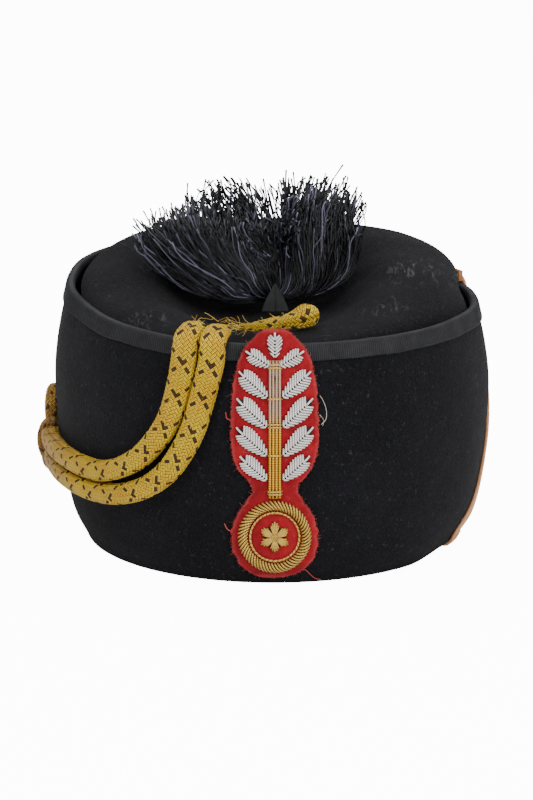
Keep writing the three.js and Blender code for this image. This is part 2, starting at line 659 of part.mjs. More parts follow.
add("felt_body", feltBody(), 0x17171a);
add("edge_binding", edgeBinding(), 0x3c3c40, 0.6);
add("cord_front", cordMesh(cordFrames(cordRun(frontRun))), 0xd4ae38, 0.5);
add("cord_back", cordMesh(cordFrames(cordRun(backRun))), 0xd0a934, 0.5);
add("side_knot", sideKnot(), 0xb08a3c, 0.6);
add("cord_tip", cordTip(), 0xd8b23e, 0.5);
add("badge_patch", badgePatch(), 0xb5302b);
add("badge_ring", threadRing(roundel.ringRadius, roundel.ringHalfWidth, 1, 28), 0xb08d3c, 0.45);
add("badge_thread", threadRing(roundel.threadRadius, 0.6, 0.6, 24), 0xc79a3e, 0.45);
add("badge_rosette", rosette(), 0xc79a3e, 0.45);
add("badge_stem", badgeStem(), 0xb8923c, 0.45);
leafRows.forEach((row, i) => {
  for (const side of [-1, 1]) {
    const name = `badge_leaf_${side < 0 ? "l" : "r"}${i + 1}`;
    add(name, leaf(row.across * side, row.height, row.lean * side, row.length, row.halfWidth), 0xcfcbc5, 0.4);
  }
});
add("badge_bud", leaf(0, bud.height, 0, bud.length, bud.halfWidth), 0xcfcbc5, 0.4);
add("tassel", tasselBody(), 0x2a2a35);
add("tassel_tab", tasselTab(), 0x1c1c20, 0.7);
add("chin_strap", chinStrap(), 0xb07a45, 0.55);
add("strap_keeper", strapKeeper(), 0x9c6b3c, 0.55);

export default hat;
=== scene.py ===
# The felt hat's looks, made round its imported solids. Sizes are in millimetres, and a height is
# measured from the ground. Angles run round the hat from its front, positive towards +X.
import math

import bpy
import numpy as np
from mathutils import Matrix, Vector, noise


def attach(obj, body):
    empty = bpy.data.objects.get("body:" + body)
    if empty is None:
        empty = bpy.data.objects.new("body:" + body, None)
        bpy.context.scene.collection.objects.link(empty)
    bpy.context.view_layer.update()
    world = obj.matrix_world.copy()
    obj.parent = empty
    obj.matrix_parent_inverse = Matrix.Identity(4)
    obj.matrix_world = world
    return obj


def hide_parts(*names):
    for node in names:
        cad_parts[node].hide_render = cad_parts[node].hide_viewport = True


mm = 0.001
rng = np.random.default_rng(11)

print("loading the packed solids")
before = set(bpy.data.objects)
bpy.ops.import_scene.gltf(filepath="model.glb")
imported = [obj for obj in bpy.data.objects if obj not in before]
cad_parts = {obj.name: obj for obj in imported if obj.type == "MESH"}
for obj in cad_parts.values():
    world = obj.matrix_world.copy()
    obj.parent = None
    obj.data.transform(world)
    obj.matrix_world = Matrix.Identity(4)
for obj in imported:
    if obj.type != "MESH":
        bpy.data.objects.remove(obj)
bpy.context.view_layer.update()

# The hat's own shape
shape = {
    "moveBack": 2.0,
    "thickness": 2.0,
    "foldRadius": 1.4,
    "lengthExtra": 12.5,
    "bulgeLoss": 0.1,
    "edge": 108.75,
    "meanEdge": 103.8,
    "wall": [(2.3, 79.8), (12.5, 84.8), (30, 88.6), (58, 91.6), (75, 92.0), (92, 90.0), (108.75, 86.4)],
    "crown": [(95, 84), (102.5, 82.4), (108.5, 81.6), (113, 81.4), (117.3, 78), (119.8, 70), (120.4, 60),
              (117.5, 49), (110.5, 37.5), (104, 25), (101, 12), (100.3, 0)],
    "strapUnder": (71.0, 216.0),  # degrees
    "strapRise": 2.1,
    "wobble": 0.28,
}
wallHeights = np.array([row[0] for row in shape["wall"]])
wallWidths = np.array([row[1] for row in shape["wall"]])


def smooth(x, a, b):
    t = np.clip((np.asarray(x, float) - a) / (b - a), 0, 1)
    return t * t * (3 - 2 * t)


def wallWidth(height):
    h = np.asarray(height, float)
    last = len(wallHeights) - 1
    at = np.clip(np.searchsorted(wallHeights, h, side="right"), 1, last)
    a, b = at - 1, at
    before, after = np.maximum(a - 1, 0), np.minimum(b + 1, last)
    slopeA = (wallWidths[b] - wallWidths[before]) / (wallHeights[b] - wallHeights[before])
    slopeB = (wallWidths[after] - wallWidths[a]) / (wallHeights[after] - wallHeights[a])
    span = wallHeights[b] - wallHeights[a]
    t = (h - wallHeights[a]) / span
    inner = (wallWidths[a] * (1 + 2 * t) * (1 - t) ** 2 + slopeA * span * t * (1 - t) ** 2
             + wallWidths[b] * t * t * (3 - 2 * t) + slopeB * span * t * t * (t - 1))
    return np.where(t > 1, wallWidths[b] + slopeB * (h - wallHeights[b]), inner)


def edgeHeight(a):
    return shape["meanEdge"] - 4.7 * np.cos(a) - 4.5 * np.sin(a) - 0.4 * np.cos(2 * a) + 2.1 * np.sin(2 * a)


def crestLift(a):
    back = 6 * np.maximum(0, np.cos(np.asarray(a) - math.radians(234))) ** 3
    return -4.2 - 5 * np.cos(a) + 8.5 * np.sin(a) - 1.2 * np.cos(2 * a) - 2.6 * np.sin(2 * a) + back


def sideGap(a):
    return 2.6 * smooth(-np.sin(a), 0.3, 0.95) + 3 * smooth(-np.cos(a), -0.25, 0.05)


def strapArch(a):
    turn = [np.abs(np.degrees(a) - c) % 360 for c in shape["strapUnder"]]
    nearest = np.minimum(*[np.minimum(t, 360 - t) for t in turn])
    return shape["strapRise"] * (1 - smooth(nearest, 9, 26))


def lay(radius, height, angle, crown=0.0):
    # a point of the section, carried round the worn oval
    r, h, a, crown = np.broadcast_arrays(*[np.asarray(v, float) for v in (radius, height, angle, crown)])
    shoulder = 1 - smooth(h, 110, 116)
    roundOff = 3.4 * smooth(np.sin(a), 0.4, 1) * smooth(h, 104, 114) * smooth(r, 40, 76)
    across = r - crown * (sideGap(a) * smooth(r, 76, 80) * shoulder + roundOff)
    extra = shape["lengthExtra"] * smooth(r, 0, 75) - shape["bulgeLoss"] * np.maximum(0, r - 80)
    fade = smooth(r, 4, 60)
    scale = (shape["meanEdge"] * (1 - fade) + edgeHeight(a) * fade) / shape["edge"]
    lift = crown * crestLift(a) * smooth(r, 5, 42) * smooth(h, 92, 108)
    arch = strapArch(a) * (1 - smooth(h, 0, 40))
    return np.stack([across * np.sin(a), shape["moveBack"] - (across + extra) * np.cos(a),
                     h * scale + lift + arch], -1)


def wobble(angle, height):
    # the hand-worn swell and dip of the cuff, shared by all that lies on it
    a, z = np.asarray(angle, float), np.asarray(height, float)
    return shape["wobble"] * (np.sin(5 * a + 1.3 + z / 31) + 0.8 * np.sin(9 * a - z / 23)
                              + 0.6 * np.sin(14 * a + z / 17 + 2)) * smooth(z, 4, 20)


def unit(vectors):
    return vectors / np.linalg.norm(vectors, axis=-1, keepdims=True)


def outward(angle):
    return np.stack([np.sin(angle), -np.cos(angle), 0 * angle], -1)


def wallPlace(angle, height, off=0.0):
    # the point off the cuff's outer face, and its outward normal
    a, h = np.broadcast_arrays(np.asarray(angle, float), np.asarray(height, float))

    def place(a, h):
        arch = strapArch(a) * (1 - smooth(h, 0, 40))
        nominal = np.maximum((h - arch) * shape["edge"] / edgeHeight(a), 2.3)
        p = lay(wallWidth(nominal), 0 * h, a)
        p[..., 2] = h
        return p

    along = unit(place(a + 0.01, h) - place(a - 0.01, h))
    rise = unit(place(a, h + 0.5) - place(a, h - 0.5))
    out = unit(np.cross(along, rise))
    return place(a, h) + out * (np.asarray(off, float) + wobble(a, h))[..., None], out


def smoothRows(rows, count):
    # a centripetal curve through rows of any width, read at even steps
    p = np.array(rows, float)
    ends = np.vstack([2 * p[0] - p[1], p, 2 * p[-1] - p[-2]])
    steps = np.sqrt(np.linalg.norm(np.diff(ends[:, :3], axis=0), axis=1)) + 1e-9
    knots = np.concatenate([[0], np.cumsum(steps)])
    u = np.linspace(knots[1], knots[-2], count)
    i = np.clip(np.searchsorted(knots, u, side="right") - 1, 1, len(p) - 1)
    t0, t1, t2, t3 = [knots[i + k][:, None] for k in (-1, 0, 1, 2)]
    p0, p1, p2, p3 = [ends[i + k] for k in (-1, 0, 1, 2)]
    x = u[:, None]
    a1 = (t1 - x) / (t1 - t0) * p0 + (x - t0) / (t1 - t0) * p1
    a2 = (t2 - x) / (t2 - t1) * p1 + (x - t1) / (t2 - t1) * p2
    a3 = (t3 - x) / (t3 - t2) * p2 + (x - t2) / (t3 - t2) * p3
    b1 = (t2 - x) / (t2 - t0) * a1 + (x - t0) / (t2 - t0) * a2
    b2 = (t3 - x) / (t3 - t1) * a2 + (x - t1) / (t3 - t1) * a3
    return (t2 - x) / (t2 - t1) * b1 + (x - t1) / (t2 - t1) * b2


def lengthsAlong(points):
    # the length walked up to each point
    return np.concatenate([[0], np.cumsum(np.linalg.norm(np.diff(points, axis=0), axis=1))])


def bandFrames(line):
    # places, outward ways, ways across and lengths walked, from rows of place and outward way
    at = line[:, :3]
    t = unit(np.gradient(at, axis=0))
    out = unit(line[:, 3:6] - t * np.sum(line[:, 3:6] * t, axis=1, keepdims=True))
    return at, out, np.cross(t, out), lengthsAlong(at)


# Mesh helpers
def clearSelection():
    if bpy.context.mode != "OBJECT":
        bpy.ops.object.mode_set(mode="OBJECT")
    bpy.ops.object.select_all(action="DESELECT")


def drapedGrid(name, columns, rows, place, weld=True):
    # a flat grid, laid onto a shape: place takes arrays of u and v from 0 to 1 and gives points
    clearSelection()
    bpy.ops.mesh.primitive_grid_add(x_subdivisions=columns, y_subdivisions=rows, size=2, calc_uvs=True)
    piece = bpy.context.object
    piece.name = piece.data.name = name
    flat = np.empty(len(piece.data.vertices) * 3)
    piece.data.vertices.foreach_get("co", flat)
    u, v, _ = (flat.reshape(-1, 3).T + 1) / 2
    setPoints(piece, place(u, v))
    if weld:
        weldActive(2e-6)
    bpy.ops.object.shade_smooth()
    return piece


def weldActive(reach):
    # joins what lies within reach, in metres, in the active object
    bpy.ops.object.mode_set(mode="EDIT")
    bpy.ops.mesh.select_all(action="SELECT")
    bpy.ops.mesh.remove_doubles(threshold=reach)
    bpy.ops.mesh.normals_make_consistent(inside=False)
    bpy.ops.object.mode_set(mode="OBJECT")


def measuredUv(piece, lengths, pitch=1.0, around=1.0):
    # the UV's first way runs in pitches along the piece, its second in cells round it
    layer = piece.data.uv_layers[0].data
    uv = np.empty(len(layer) * 2)
    layer.foreach_get("uv", uv)
    uv = uv.reshape(-1, 2)
    uv[:, 0] = np.interp(uv[:, 0], np.linspace(0, 1, len(lengths)), lengths) / pitch
    uv[:, 1] *= around
    layer.foreach_set("uv", uv.ravel())


def copyOfNode(name, node):
    # a selected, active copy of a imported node's mesh
    made = bpy.data.objects.new(name, bpy.data.objects[node].data.copy())
    bpy.context.scene.collection.objects.link(made)
    made.select_set(True)
    bpy.context.view_layer.objects.active = made
    return made


def copies(name, template, transforms, attributes=None):
    # one modelled part, repeated: transforms gives each copy's points from the template's
    base = pointsOf(template)
    faces = [tuple(f.vertices) for f in template.data.polygons]
    loopUv = np.empty(len(template.data.loops) * 2)
    template.data.uv_layers[0].data.foreach_get("uv", loopUv)
    points = [np.asarray(t(base), float) for t in transforms]
    mesh = bpy.data.meshes.new(name)
    n = len(base)
    allFaces = [tuple(i + k * n for i in f) for k in range(len(points)) for f in faces]
    mesh.from_pydata((np.vstack(points) * mm).tolist(), [], allFaces)
    layer = mesh.uv_layers.new(name="UVMap")
    layer.data.foreach_set("uv", np.tile(loopUv, len(points)))
    for key, values in (attributes or {}).items():
        layer = mesh.attributes.new(key, "FLOAT", "POINT")
        layer.data.foreach_set("value", np.repeat(np.asarray(values, float), n))
    mesh.polygons.foreach_set("use_smooth", [True] * len(mesh.polygons))
    piece = bpy.data.objects.new(name, mesh)
    bpy.context.scene.collection.objects.link(piece)
    return piece


def thread(name, sides, steps):
    # one closed thread of length 1 along Z and radius 1, ready to be bent
    def place(u, v):
        ring = np.rint(u * steps)
        radius = np.where((ring == 0) | (ring == steps), 0, 1)
        height = np.clip((ring - 1) / (steps - 2), 0, 1)
        return np.stack([radius * np.cos(2 * np.pi * v), radius * np.sin(2 * np.pi * v), height], -1)

    return drapedGrid(name, steps, sides, place)


def framesAlong(path):
    # two steady normals along a path of points
    p = np.asarray(path, float)
    t = unit(np.gradient(p, axis=0))
    first = np.array([0, 0, 1.0]) if abs(t[0][2]) < 0.8 else np.array([1.0, 0, 0])
    n = np.empty_like(p)
    n[0] = first - t[0] * first.dot(t[0])
    n[0] /= np.linalg.norm(n[0])
    for i in range(1, len(p)):
        v = n[i - 1] - t[i] * n[i - 1].dot(t[i])
        n[i] = v / np.linalg.norm(v)
    return n, np.cross(t, n)


def bent(path, radius):
    # bends a thread's points along a path, with a radius for each share of its length
    path = np.asarray(path, float)
    n, b = framesAlong(path)

    def move(base):
        at = np.clip(base[:, 2], 0, 1) * (len(path) - 1)
        i = np.minimum(at.astype(int), len(path) - 2)
        f = (at - i)[:, None]
        middle = path[i] * (1 - f) + path[i + 1] * f
        nn = n[i] * (1 - f) + n[i + 1] * f
        bb = b[i] * (1 - f) + b[i + 1] * f
        r = radius(base[:, 2]) if callable(radius) else np.full(len(base), float(radius))
        return middle + nn * (base[:, :1] * r[:, None]) + bb * (base[:, 1:2] * r[:, None])

    return move


def pointsOf(piece):
    co = np.empty(len(piece.data.vertices) * 3)
    piece.data.vertices.foreach_get("co", co)
    return co.reshape(-1, 3) / mm


def setPoints(piece, points):
    piece.data.vertices.foreach_set("co", (np.asarray(points) * mm).ravel())
    piece.data.update()


def fitted(piece, material, replaced=()):
    piece.data.materials.clear()
    piece.data.materials.append(material)
    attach(piece, "root")
    for node in replaced:
        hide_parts(node)
    return piece


# Material helpers
def newMaterial(name, **values):
    made = bpy.data.materials.new(name)
    made.use_nodes = True
    tree = made.node_tree
    shader = tree.nodes["Principled BSDF"]
    for key, value in values.items():
        shader.inputs[key.replace("_", " ")].default_value = value
    return made, tree, shader


def add(tree, kind, *inputs, out=0, **settings):
    # a node with its inputs given in order: sockets are linked, values set, None left alone
    made = tree.nodes.new(kind)
    for key, value in settings.items():
        setattr(made, key, value)
    for socket, value in zip(made.inputs, inputs):
        if value is None:
            continue
        if isinstance(value, bpy.types.NodeSocket):
            tree.links.new(value, socket)
        else:
            socket.default_value = value
    return made.outputs[out]


def calc(tree, operation, *inputs):
    return add(tree, "ShaderNodeMath", *inputs, operation=operation)


def times(tree, a, b):
    return calc(tree, "MULTIPLY", a, b)


def plus(tree, a, b):
    return calc(tree, "ADD", a, b)


def lines(tree, across, count):
    # even ridges, so many over one unit of a UV's way
    return calc(tree, "ABSOLUTE", calc(tree, "SINE", times(tree, across, math.pi * count)))


def ownUv(tree):
    return add(tree, "ShaderNodeSeparateXYZ", add(tree, "ShaderNodeTexCoord", out=2)).node.outputs


def twist(tree, pace):
    # the slant ridges of a twisted thread
    uv = ownUv(tree)
    return calc(tree, "SINE", plus(tree, times(tree, uv[0], pace), times(tree, uv[1], 6.28)))


def pointValue(tree, key):
    return add(tree, "ShaderNodeAttribute", attribute_name=key, out=2)


def objectPlace(tree):
    return add(tree, "ShaderNodeTexCoord", out=3)


def grain(tree, scale, detail=4.0, rough=0.6, vector=None, warp=0.0):
    made = tree.nodes.new("ShaderNodeTexNoise")
    made.inputs["Scale"].default_value = scale
    made.inputs["Detail"].default_value = detail
    made.inputs["Roughness"].default_value = rough
    made.inputs["Distortion"].default_value = warp
    tree.links.new(vector or objectPlace(tree), made.inputs["Vector"])
    return made.outputs["Fac"]


def ramp(tree, value, stops):
    made = tree.nodes.new("ShaderNodeValToRGB")
    while len(made.color_ramp.elements) < len(stops):
        made.color_ramp.elements.new(0.5)
    for element, (at, colour) in zip(made.color_ramp.elements, stops):
        element.position = at
        element.color = colour if hasattr(colour, "__len__") else (colour, colour, colour, 1)
    tree.links.new(value, made.inputs["Fac"])
    return made.outputs["Color"]


def blend(tree, share, a, b):
    made = tree.nodes.new("ShaderNodeMix")
    made.data_type = "RGBA"
    for socket, value in ((made.inputs["Factor"], share), (made.inputs[6], a), (made.inputs[7], b)):
        if isinstance(value, bpy.types.NodeSocket):
            tree.links.new(value, socket)
        else:
            socket.default_value = value
    return made.outputs[2]


def dress(tree, shader, colour, height, depth, strength, rough=None):
    # links a material's colour, its bump of that depth, and its roughness where it varies
    tree.links.new(colour, shader.inputs["Base Color"])
    if rough is not None:
        tree.links.new(rough, shader.inputs["Roughness"])
    bump = tree.nodes.new("ShaderNodeBump")
    bump.inputs["Strength"].default_value = strength
    bump.inputs["Distance"].default_value = depth * mm
    tree.links.new(height, bump.inputs["Height"])
    tree.links.new(bump.outputs["Normal"], shader.inputs["Normal"])


def tone(hexCode):
    # a display colour as linear light
    parts = [int(hexCode[i:i + 2], 16) / 255 for i in (0, 2, 4)]
    return tuple(c / 12.92 if c <= 0.04045 else ((c + 0.055) / 1.055) ** 2.4 for c in parts) + (1.0,)


def sharedGroup(name, outputs, inputs=()):
    made = bpy.data.node_groups.new(name, "ShaderNodeTree")
    for way, labels in (("INPUT", inputs), ("OUTPUT", outputs)):
        for label in labels:
            made.interface.new_socket(label, in_out=way, socket_type="NodeSocketFloat")
    return made, made.nodes.new("NodeGroupInput"), made.nodes.new("NodeGroupOutput")


def useGroup(tree, group, **values):
    made = tree.nodes.new("ShaderNodeGroup")
    made.node_tree = group
    for key, value in values.items():
        if isinstance(value, bpy.types.NodeSocket):
            tree.links.new(value, made.inputs[key])
        else:
            made.inputs[key].default_value = value
    return made.outputs


print("shared material groups")
# matted wool: soft mottling, pale stray fibres and a fine felted grain
wool, woolIn, woolOut = sharedGroup("mattedWool", ("Mottle", "Flecks", "Height"), ("Size",))
woolPlace = add(wool, "ShaderNodeVectorMath", objectPlace(wool), None, operation="SCALE")
wool.links.new(woolIn.outputs["Size"], woolPlace.node.inputs["Scale"])
woolMottle = plus(wool, times(wool, grain(wool, 22, 5, 0.6, woolPlace), 0.6),
                  times(wool, grain(wool, 160, 4, 0.65, woolPlace), 0.4))
woolTurnA = add(wool, "ShaderNodeMapping", woolPlace, None, (0.5, 0.3, 0.9), (1, 0.22, 0.6))
woolTurnB = add(wool, "ShaderNodeMapping", woolPlace, None, (1.9, 0.8, 0.2), (0.25, 1, 0.5))
woolHair = calc(wool, "MAXIMUM", grain(wool, 900, 2, 0.5, woolTurnA), grain(wool, 1000, 2, 0.5, woolTurnB))
woolCells = add(wool, "ShaderNodeTexVoronoi", woolPlace, None, 700.0)
woolSpecks = ramp(wool, woolCells, [(0.0, 1.0), (0.10, 0.0)])
woolScatter = ramp(wool, grain(wool, 60, 3, 0.7, woolPlace), [(0.52, 0.0), (0.66, 1.0)])
woolFlecks = calc(wool, "MAXIMUM", times(wool, woolSpecks, woolScatter),
                  ramp(wool, woolHair, [(0.66, 0.0), (0.74, 0.75)]))
woolHeight = plus(wool, times(wool, woolHair, 0.6), times(wool, woolMottle, 0.8))
wool.links.new(woolMottle, woolOut.inputs["Mottle"])
wool.links.new(woolFlecks, woolOut.inputs["Flecks"])
wool.links.new(woolHeight, woolOut.inputs["Height"])

# handled surfaces: dust and dull patches
worn, _, wornOut = sharedGroup("handling", ("Dust", "Dull"))
worn.links.new(ramp(worn, grain(worn, 75, 6, 0.7), [(0.5, 0.0), (0.72, 1.0)]), wornOut.inputs["Dust"])
wornPatches = grain(worn, 28, 4, 0.6, warp=0.6)
worn.links.new(ramp(worn, wornPatches, [(0.35, 0.0), (0.65, 1.0)]), wornOut.inputs["Dull"])

# a fine wound wire: even turns along a thread's own length, from its UV
coil, coilIn, coilOut = sharedGroup("windings", ("Height",), ("Turns",))
coilUv = ownUv(coil)
coilPhase = plus(coil, times(coil, coilUv[0], coilIn.outputs["Turns"]), coilUv[1])
coil.links.new(lines(coil, coilPhase, 1), coilOut.inputs["Height"])


def metalThread(name, light, dark, turns, metallic, rough, tarnish):
    made, tree, shader = newMaterial(name, Metallic=metallic)
    winding = useGroup(tree, coil, Turns=turns)["Height"]
    handled = useGroup(tree, worn)
    # the grooves between the wire's turns are painted dark as shade, and its crests painted light as
    # highlight
    body = blend(tree, winding, dark, light)
    patchy = blend(tree, times(tree, handled["Dull"], 0.5), body, tarnish)
    dullness = plus(tree, times(tree, handled["Dust"], 0.22), rough)
    dress(tree, shader, patchy, winding, 0.09, 0.9, dullness)
    return made


# The felt
print("felt body")


def feltMaterial():
    made, tree, shader = newMaterial("feltMaterial", Sheen_Weight=0.022, Sheen_Roughness=0.5,
                                     Specular_IOR_Level=0.1)
    fibres = useGroup(tree, wool, Size=1.0)
    shade = ramp(tree, fibres["Mottle"], [(0.34, tone("030304")), (0.5, tone("060608")),
                                          (0.66, tone("0c0c10"))])
    dusty = blend(tree, times(tree, fibres["Flecks"], 0.24), shade, tone("5a595e"))
    # the pile is rubbed pale where the crown was handled: places and reaches in metres
    spots = None
    for spot, reach in (((0.060, -0.012, 0.124), 0.026), ((0.046, -0.052, 0.112), 0.014),
                        ((-0.05, -0.055, 0.1), 0.012)):
        away = add(tree, "ShaderNodeVectorMath", objectPlace(tree), spot, operation="DISTANCE", out=1)
        near = ramp(tree, calc(tree, "DIVIDE", away, reach), [(0.2, 1.0), (1.0, 0.0)])
        spots = near if spots is None else calc(tree, "MAXIMUM", spots, near)
    slanted = add(tree, "ShaderNodeMapping", objectPlace(tree), None, (0.2, 0.3, 0.7), (1, 0.2, 1))
    streaks = ramp(tree, grain(tree, 420, 3, 0.6, slanted, 0.8), [(0.55, 0.0), (0.68, 1.0)])
    rubbed = times(tree, times(tree, spots, streaks), 0.55)
    scuffed = blend(tree, rubbed, dusty, tone("65646a"))
    grit = ramp(tree, grain(tree, 1300, 2, 0.6), [(0.35, 0.0), (0.7, 1.0)])
    gritty = blend(tree, times(tree, grit, 0.36), scuffed, tone("202027"))
    pile = plus(tree, fibres["Height"], times(tree, grit, 0.5))
    dress(tree, shader, gritty, pile, 0.5, 0.9, ramp(tree, fibres["Mottle"], [(0.3, 0.96), (0.7, 0.82)]))
    return made


def feltSection():
    # the middle line: down the cuff, round the fold, up inside it and over the crown to the axis
    half = shape["thickness"] / 2
    fold = shape["foldRadius"]
    rows = [(wallWidth(h) - half, h, 0.0) for h in np.linspace(shape["edge"], 3.2, 46)]
    reach = fold + half
    centre = (wallWidth(2.3) - reach, reach * math.cos(math.pi / 10))
    for turn in np.linspace(0, -math.pi, 9):
        rows.append((centre[0] + fold * math.cos(turn), centre[1] + fold * math.sin(turn), 0.0))
    inner = [(wallWidth(h) - half - 2 * fold, h, float(smooth(h, 60, 100)))
             for h in (6, 14, 30, 46, 62, 82)]
    crown = [(r, h, float(smooth(h, 60, 97))) for h, r in shape["crown"]]
    rows.extend(smoothRows(inner + crown, 84).tolist())
    return np.array(rows, float)


def feltBody():
    # both faces of the felt, one each side of the middle line
    middle = feltSection()
    d = unit(np.gradient(middle[:, :2], axis=0))
    out = np.stack([-d[:, 1], d[:, 0]], -1) * (shape["thickness"] / 2)
    axis = middle[:, 0] < 1e-6
    skins = []
    for side in (1, -1):
        skin = middle.copy()
        skin[:, :2] += out * side
        skin[axis, 0] = 0
        skin[:, 0] = np.maximum(skin[:, 0], 0)
        skins.append(skin)
    section = np.vstack([skins[0][::-1], skins[1]])
    rows = len(section) - 1

    def place(u, v):
        angle = 2 * np.pi * u
        i = np.rint(v * rows).astype(int)
        r, h, crown = section[i].T
        p = lay(r, h, angle, crown)
        cuff = 1 - smooth(crown, 0.0, 0.4)
        p += outward(angle) * (wobble(angle, p[:, 2]) * cuff)[:, None]
        # shallow dents and a soft unevenness of the crown's felt
        dent = (0.5 * np.sin(3 * angle + r / 19 + 0.6) + 0.35 * np.sin(7 * angle - r / 11)
                + 0.25 * np.sin(11 * angle + r / 7 + 2)) * smooth(crown, 0.8, 1) * smooth(r, 4, 24)
        p[:, 2] += dent * (1 - smooth(r, 74, 81))
        return p

    return drapedGrid("feltShell", 224, rows, place)


fitted(feltBody(), feltMaterial(), ["felt_body"])

# The ribbon on the cuff's edge
print("edge ribbon")
ribbon = {
    "thickness": 0.7, "gap": 0.3, "outerDrop": 6.3, "innerDrop": 4.8,
    "ribs": 640, "ribHeight": 0.4, "warps": 46, "seamAngle": math.radians(27),
}


def ribbonMaterial():
    made, tree, shader = newMaterial("ribbonMaterial", Sheen_Weight=0.015, Specular_IOR_Level=0.22)
    handled = useGroup(tree, worn)
    uv = ownUv(tree)
    rib = lines(tree, uv[0], ribbon["ribs"])
    warp = lines(tree, uv[1], ribbon["warps"])
    patchy = ramp(tree, grain(tree, 90, 5, 0.65), [(0.35, tone("17171b")), (0.65, tone("26262b"))])
    # the grooves between the ribs are painted near black as shade
    ribGrooveShaded = blend(tree, ramp(tree, rib, [(0.3, 1.0), (0.9, 0.0)]), patchy, tone("030303"))
    dusty = blend(tree, times(tree, handled["Dust"], 0.1), ribGrooveShaded, tone("48474c"))
    height = plus(tree, times(tree, warp, 0.35), grain(tree, 1500, 2, 0.5))
    dress(tree, shader, dusty, height, 0.08, 0.6, ramp(tree, handled["Dull"], [(0.0, 0.5), (1.0, 0.72)]))
    return made


def edgeRibbon():
    t, g = ribbon["thickness"], ribbon["gap"]
    top = shape["edge"] + 0.2

    def outer(h, off):
        return (wallWidth(min(h, top)) + off, h)

    def inner(h, off):
        return (wallWidth(min(h, top)) - shape["thickness"] - off, h)

    ends = (top - ribbon["outerDrop"], top - ribbon["innerDrop"])
    # a closed section, with its outward share: 1 where the ribs stand up
    section = [
        (*outer(ends[0], g), 0), (*outer(ends[0] - 0.1, g + t * 0.6), 0.4), (*outer(ends[0] + 0.3, g + t), 1),
        (*outer(ends[0] + 1.1, g + t * 0.86), 1), (*outer(top - 3.6, g + t), 1),
        (*outer(top - 2.0, g + t), 1), (*outer(top - 0.4, g + t), 1), (*outer(top + g + t * 0.55, 0.42), 1),
        (*outer(top + g + t, -0.5), 1), (*inner(top + g + t, -0.5), 1), (*inner(top + g + t * 0.5, 0.5), 1),
        (*inner(top - 1.6, g + t + 0.2), 1), (*inner(ends[1], g + t + 0.2), 0.6),
        (*inner(ends[1], g + 0.2), 0), (*inner(top + g, g), 0), (*outer(top + g, g), 0),
        (*outer(ends[0], g), 0),
    ]
    section = np.array([[float(x) for x in row] for row in section])
    count = len(section) - 1
    columns = ribbon["ribs"] * 4

    def place(u, v):
        angle = 2 * np.pi * u
        i = np.rint(v * count).astype(int)
        r, h, share = section[i].T
        phase = np.rint(u * columns) % 4
        rise = np.where(phase == 0, 0.0, np.where(phase == 2, 1.0, 0.78)) - 0.7
        near = np.exp(-((angle - ribbon["seamAngle"]) * 90 / 3.2) ** 2)
        soft = 0.75 + 0.25 * np.sin(4 * angle + 1)
        up = share * (ribbon["ribHeight"] * soft * rise + 0.28 * near)
        middle = (wallWidth(np.minimum(h, top)) - 1, np.minimum(h, top - 0.6))
        d = np.stack([r - middle[0], h - middle[1]], -1)
        d /= np.linalg.norm(d, axis=1, keepdims=True) + 1e-9
        r2, h2 = r + d[:, 0] * up, h + d[:, 1] * up
        drop = (i <= 3) | (i == count)
        h2 = h2 + np.where(drop, 0.22 * np.sin(23 * angle) * np.sin(7 * angle + 1), 0)
        p = lay(r2, h2, angle)
        return p + outward(angle) * wobble(angle, p[:, 2])[:, None]

    return drapedGrid("edgeRibbon", columns, count, place)


fitted(edgeRibbon(), ribbonMaterial(), ["edge_binding"])

# Braided cord
print("braided cords")
braid = {"cells": 16, "pitch": 1.7, "relief": 0.2, "squash": 2.7, "darkEvery": 8}
# the routes: degrees round the hat, height, half width and half thickness
frontRun = [
    (-15.2, 92, 5.3, 2.8), (-16.4, 84, 5.3, 2.8), (-17.6, 75, 5.2, 2.9), (-19.2, 66, 5.1, 3.0),
    (-22.2, 56.5, 4.9, 3.2), (-26.4, 47.5, 4.7, 3.4), (-32.5, 40, 4.5, 3.6), (-40.5, 35, 4.3, 3.8),
    (-49, 33, 4.2, 3.9), (-58, 33.2, 4.1, 3.9), (-67, 34, 4.0, 3.9), (-76, 34.4, 4.0, 3.9),
    (-84, 34.3, 3.9, 3.9), (-90.4, 34, 3.7, 3.7),
]
backRun = [
    (-22.3, 92, 5.3, 2.8), (-23.2, 84, 5.3, 2.8), (-24.3, 75, 5.2, 2.9), (-26.2, 67, 5.0, 3.0),
    (-29.2, 60, 4.8, 3.2), (-33.6, 52.6, 4.6, 3.4), (-39.6, 46.6, 4.4, 3.6), (-47, 42.6, 4.2, 3.8),
    (-55.5, 42.1, 4.1, 3.9), (-65, 42.8, 4.0, 3.9), (-75, 43, 4.0, 3.9), (-84, 42.7, 3.9, 3.9),
    (-90.4, 42.2, 3.7, 3.7),
]
edgeRibbonTop = ribbon["gap"] + ribbon["thickness"]


def turnedAbout(angle, vector):
    x, y, z = vector
    c, s = math.cos(angle), math.sin(angle)
    return np.array([x * c - y * s, x * s + y * c, z])


def cordRows(run):
    first = math.radians(run[0][0])
    edge = float(edgeHeight(first))
    half = run[0][3] + 0.4
    rows = []
    for radius, height, out in ((79.5, edge + edgeRibbonTop + half + 0.9, (0, 0, 1)),
                                (84.4, edge + edgeRibbonTop + half + 0.5, (0, -0.05, 1)),
                                (90.2, edge + edgeRibbonTop + half - 2.2, (0, -0.75, 0.7))):
        at = lay(radius, shape["edge"], first)
        rows.append([at[0], at[1], height, *turnedAbout(first, out), run[0][2], run[0][3]])
    for i, (angle, height, halfWidth, halfThickness) in enumerate(run):
        off = halfThickness + 0.4 + (edgeRibbonTop + 0.5 if i == 0 else 0)
        at, out = wallPlace(math.radians(angle), height, off)
        rows.append([*at, *out, halfWidth, halfThickness])
    return rows


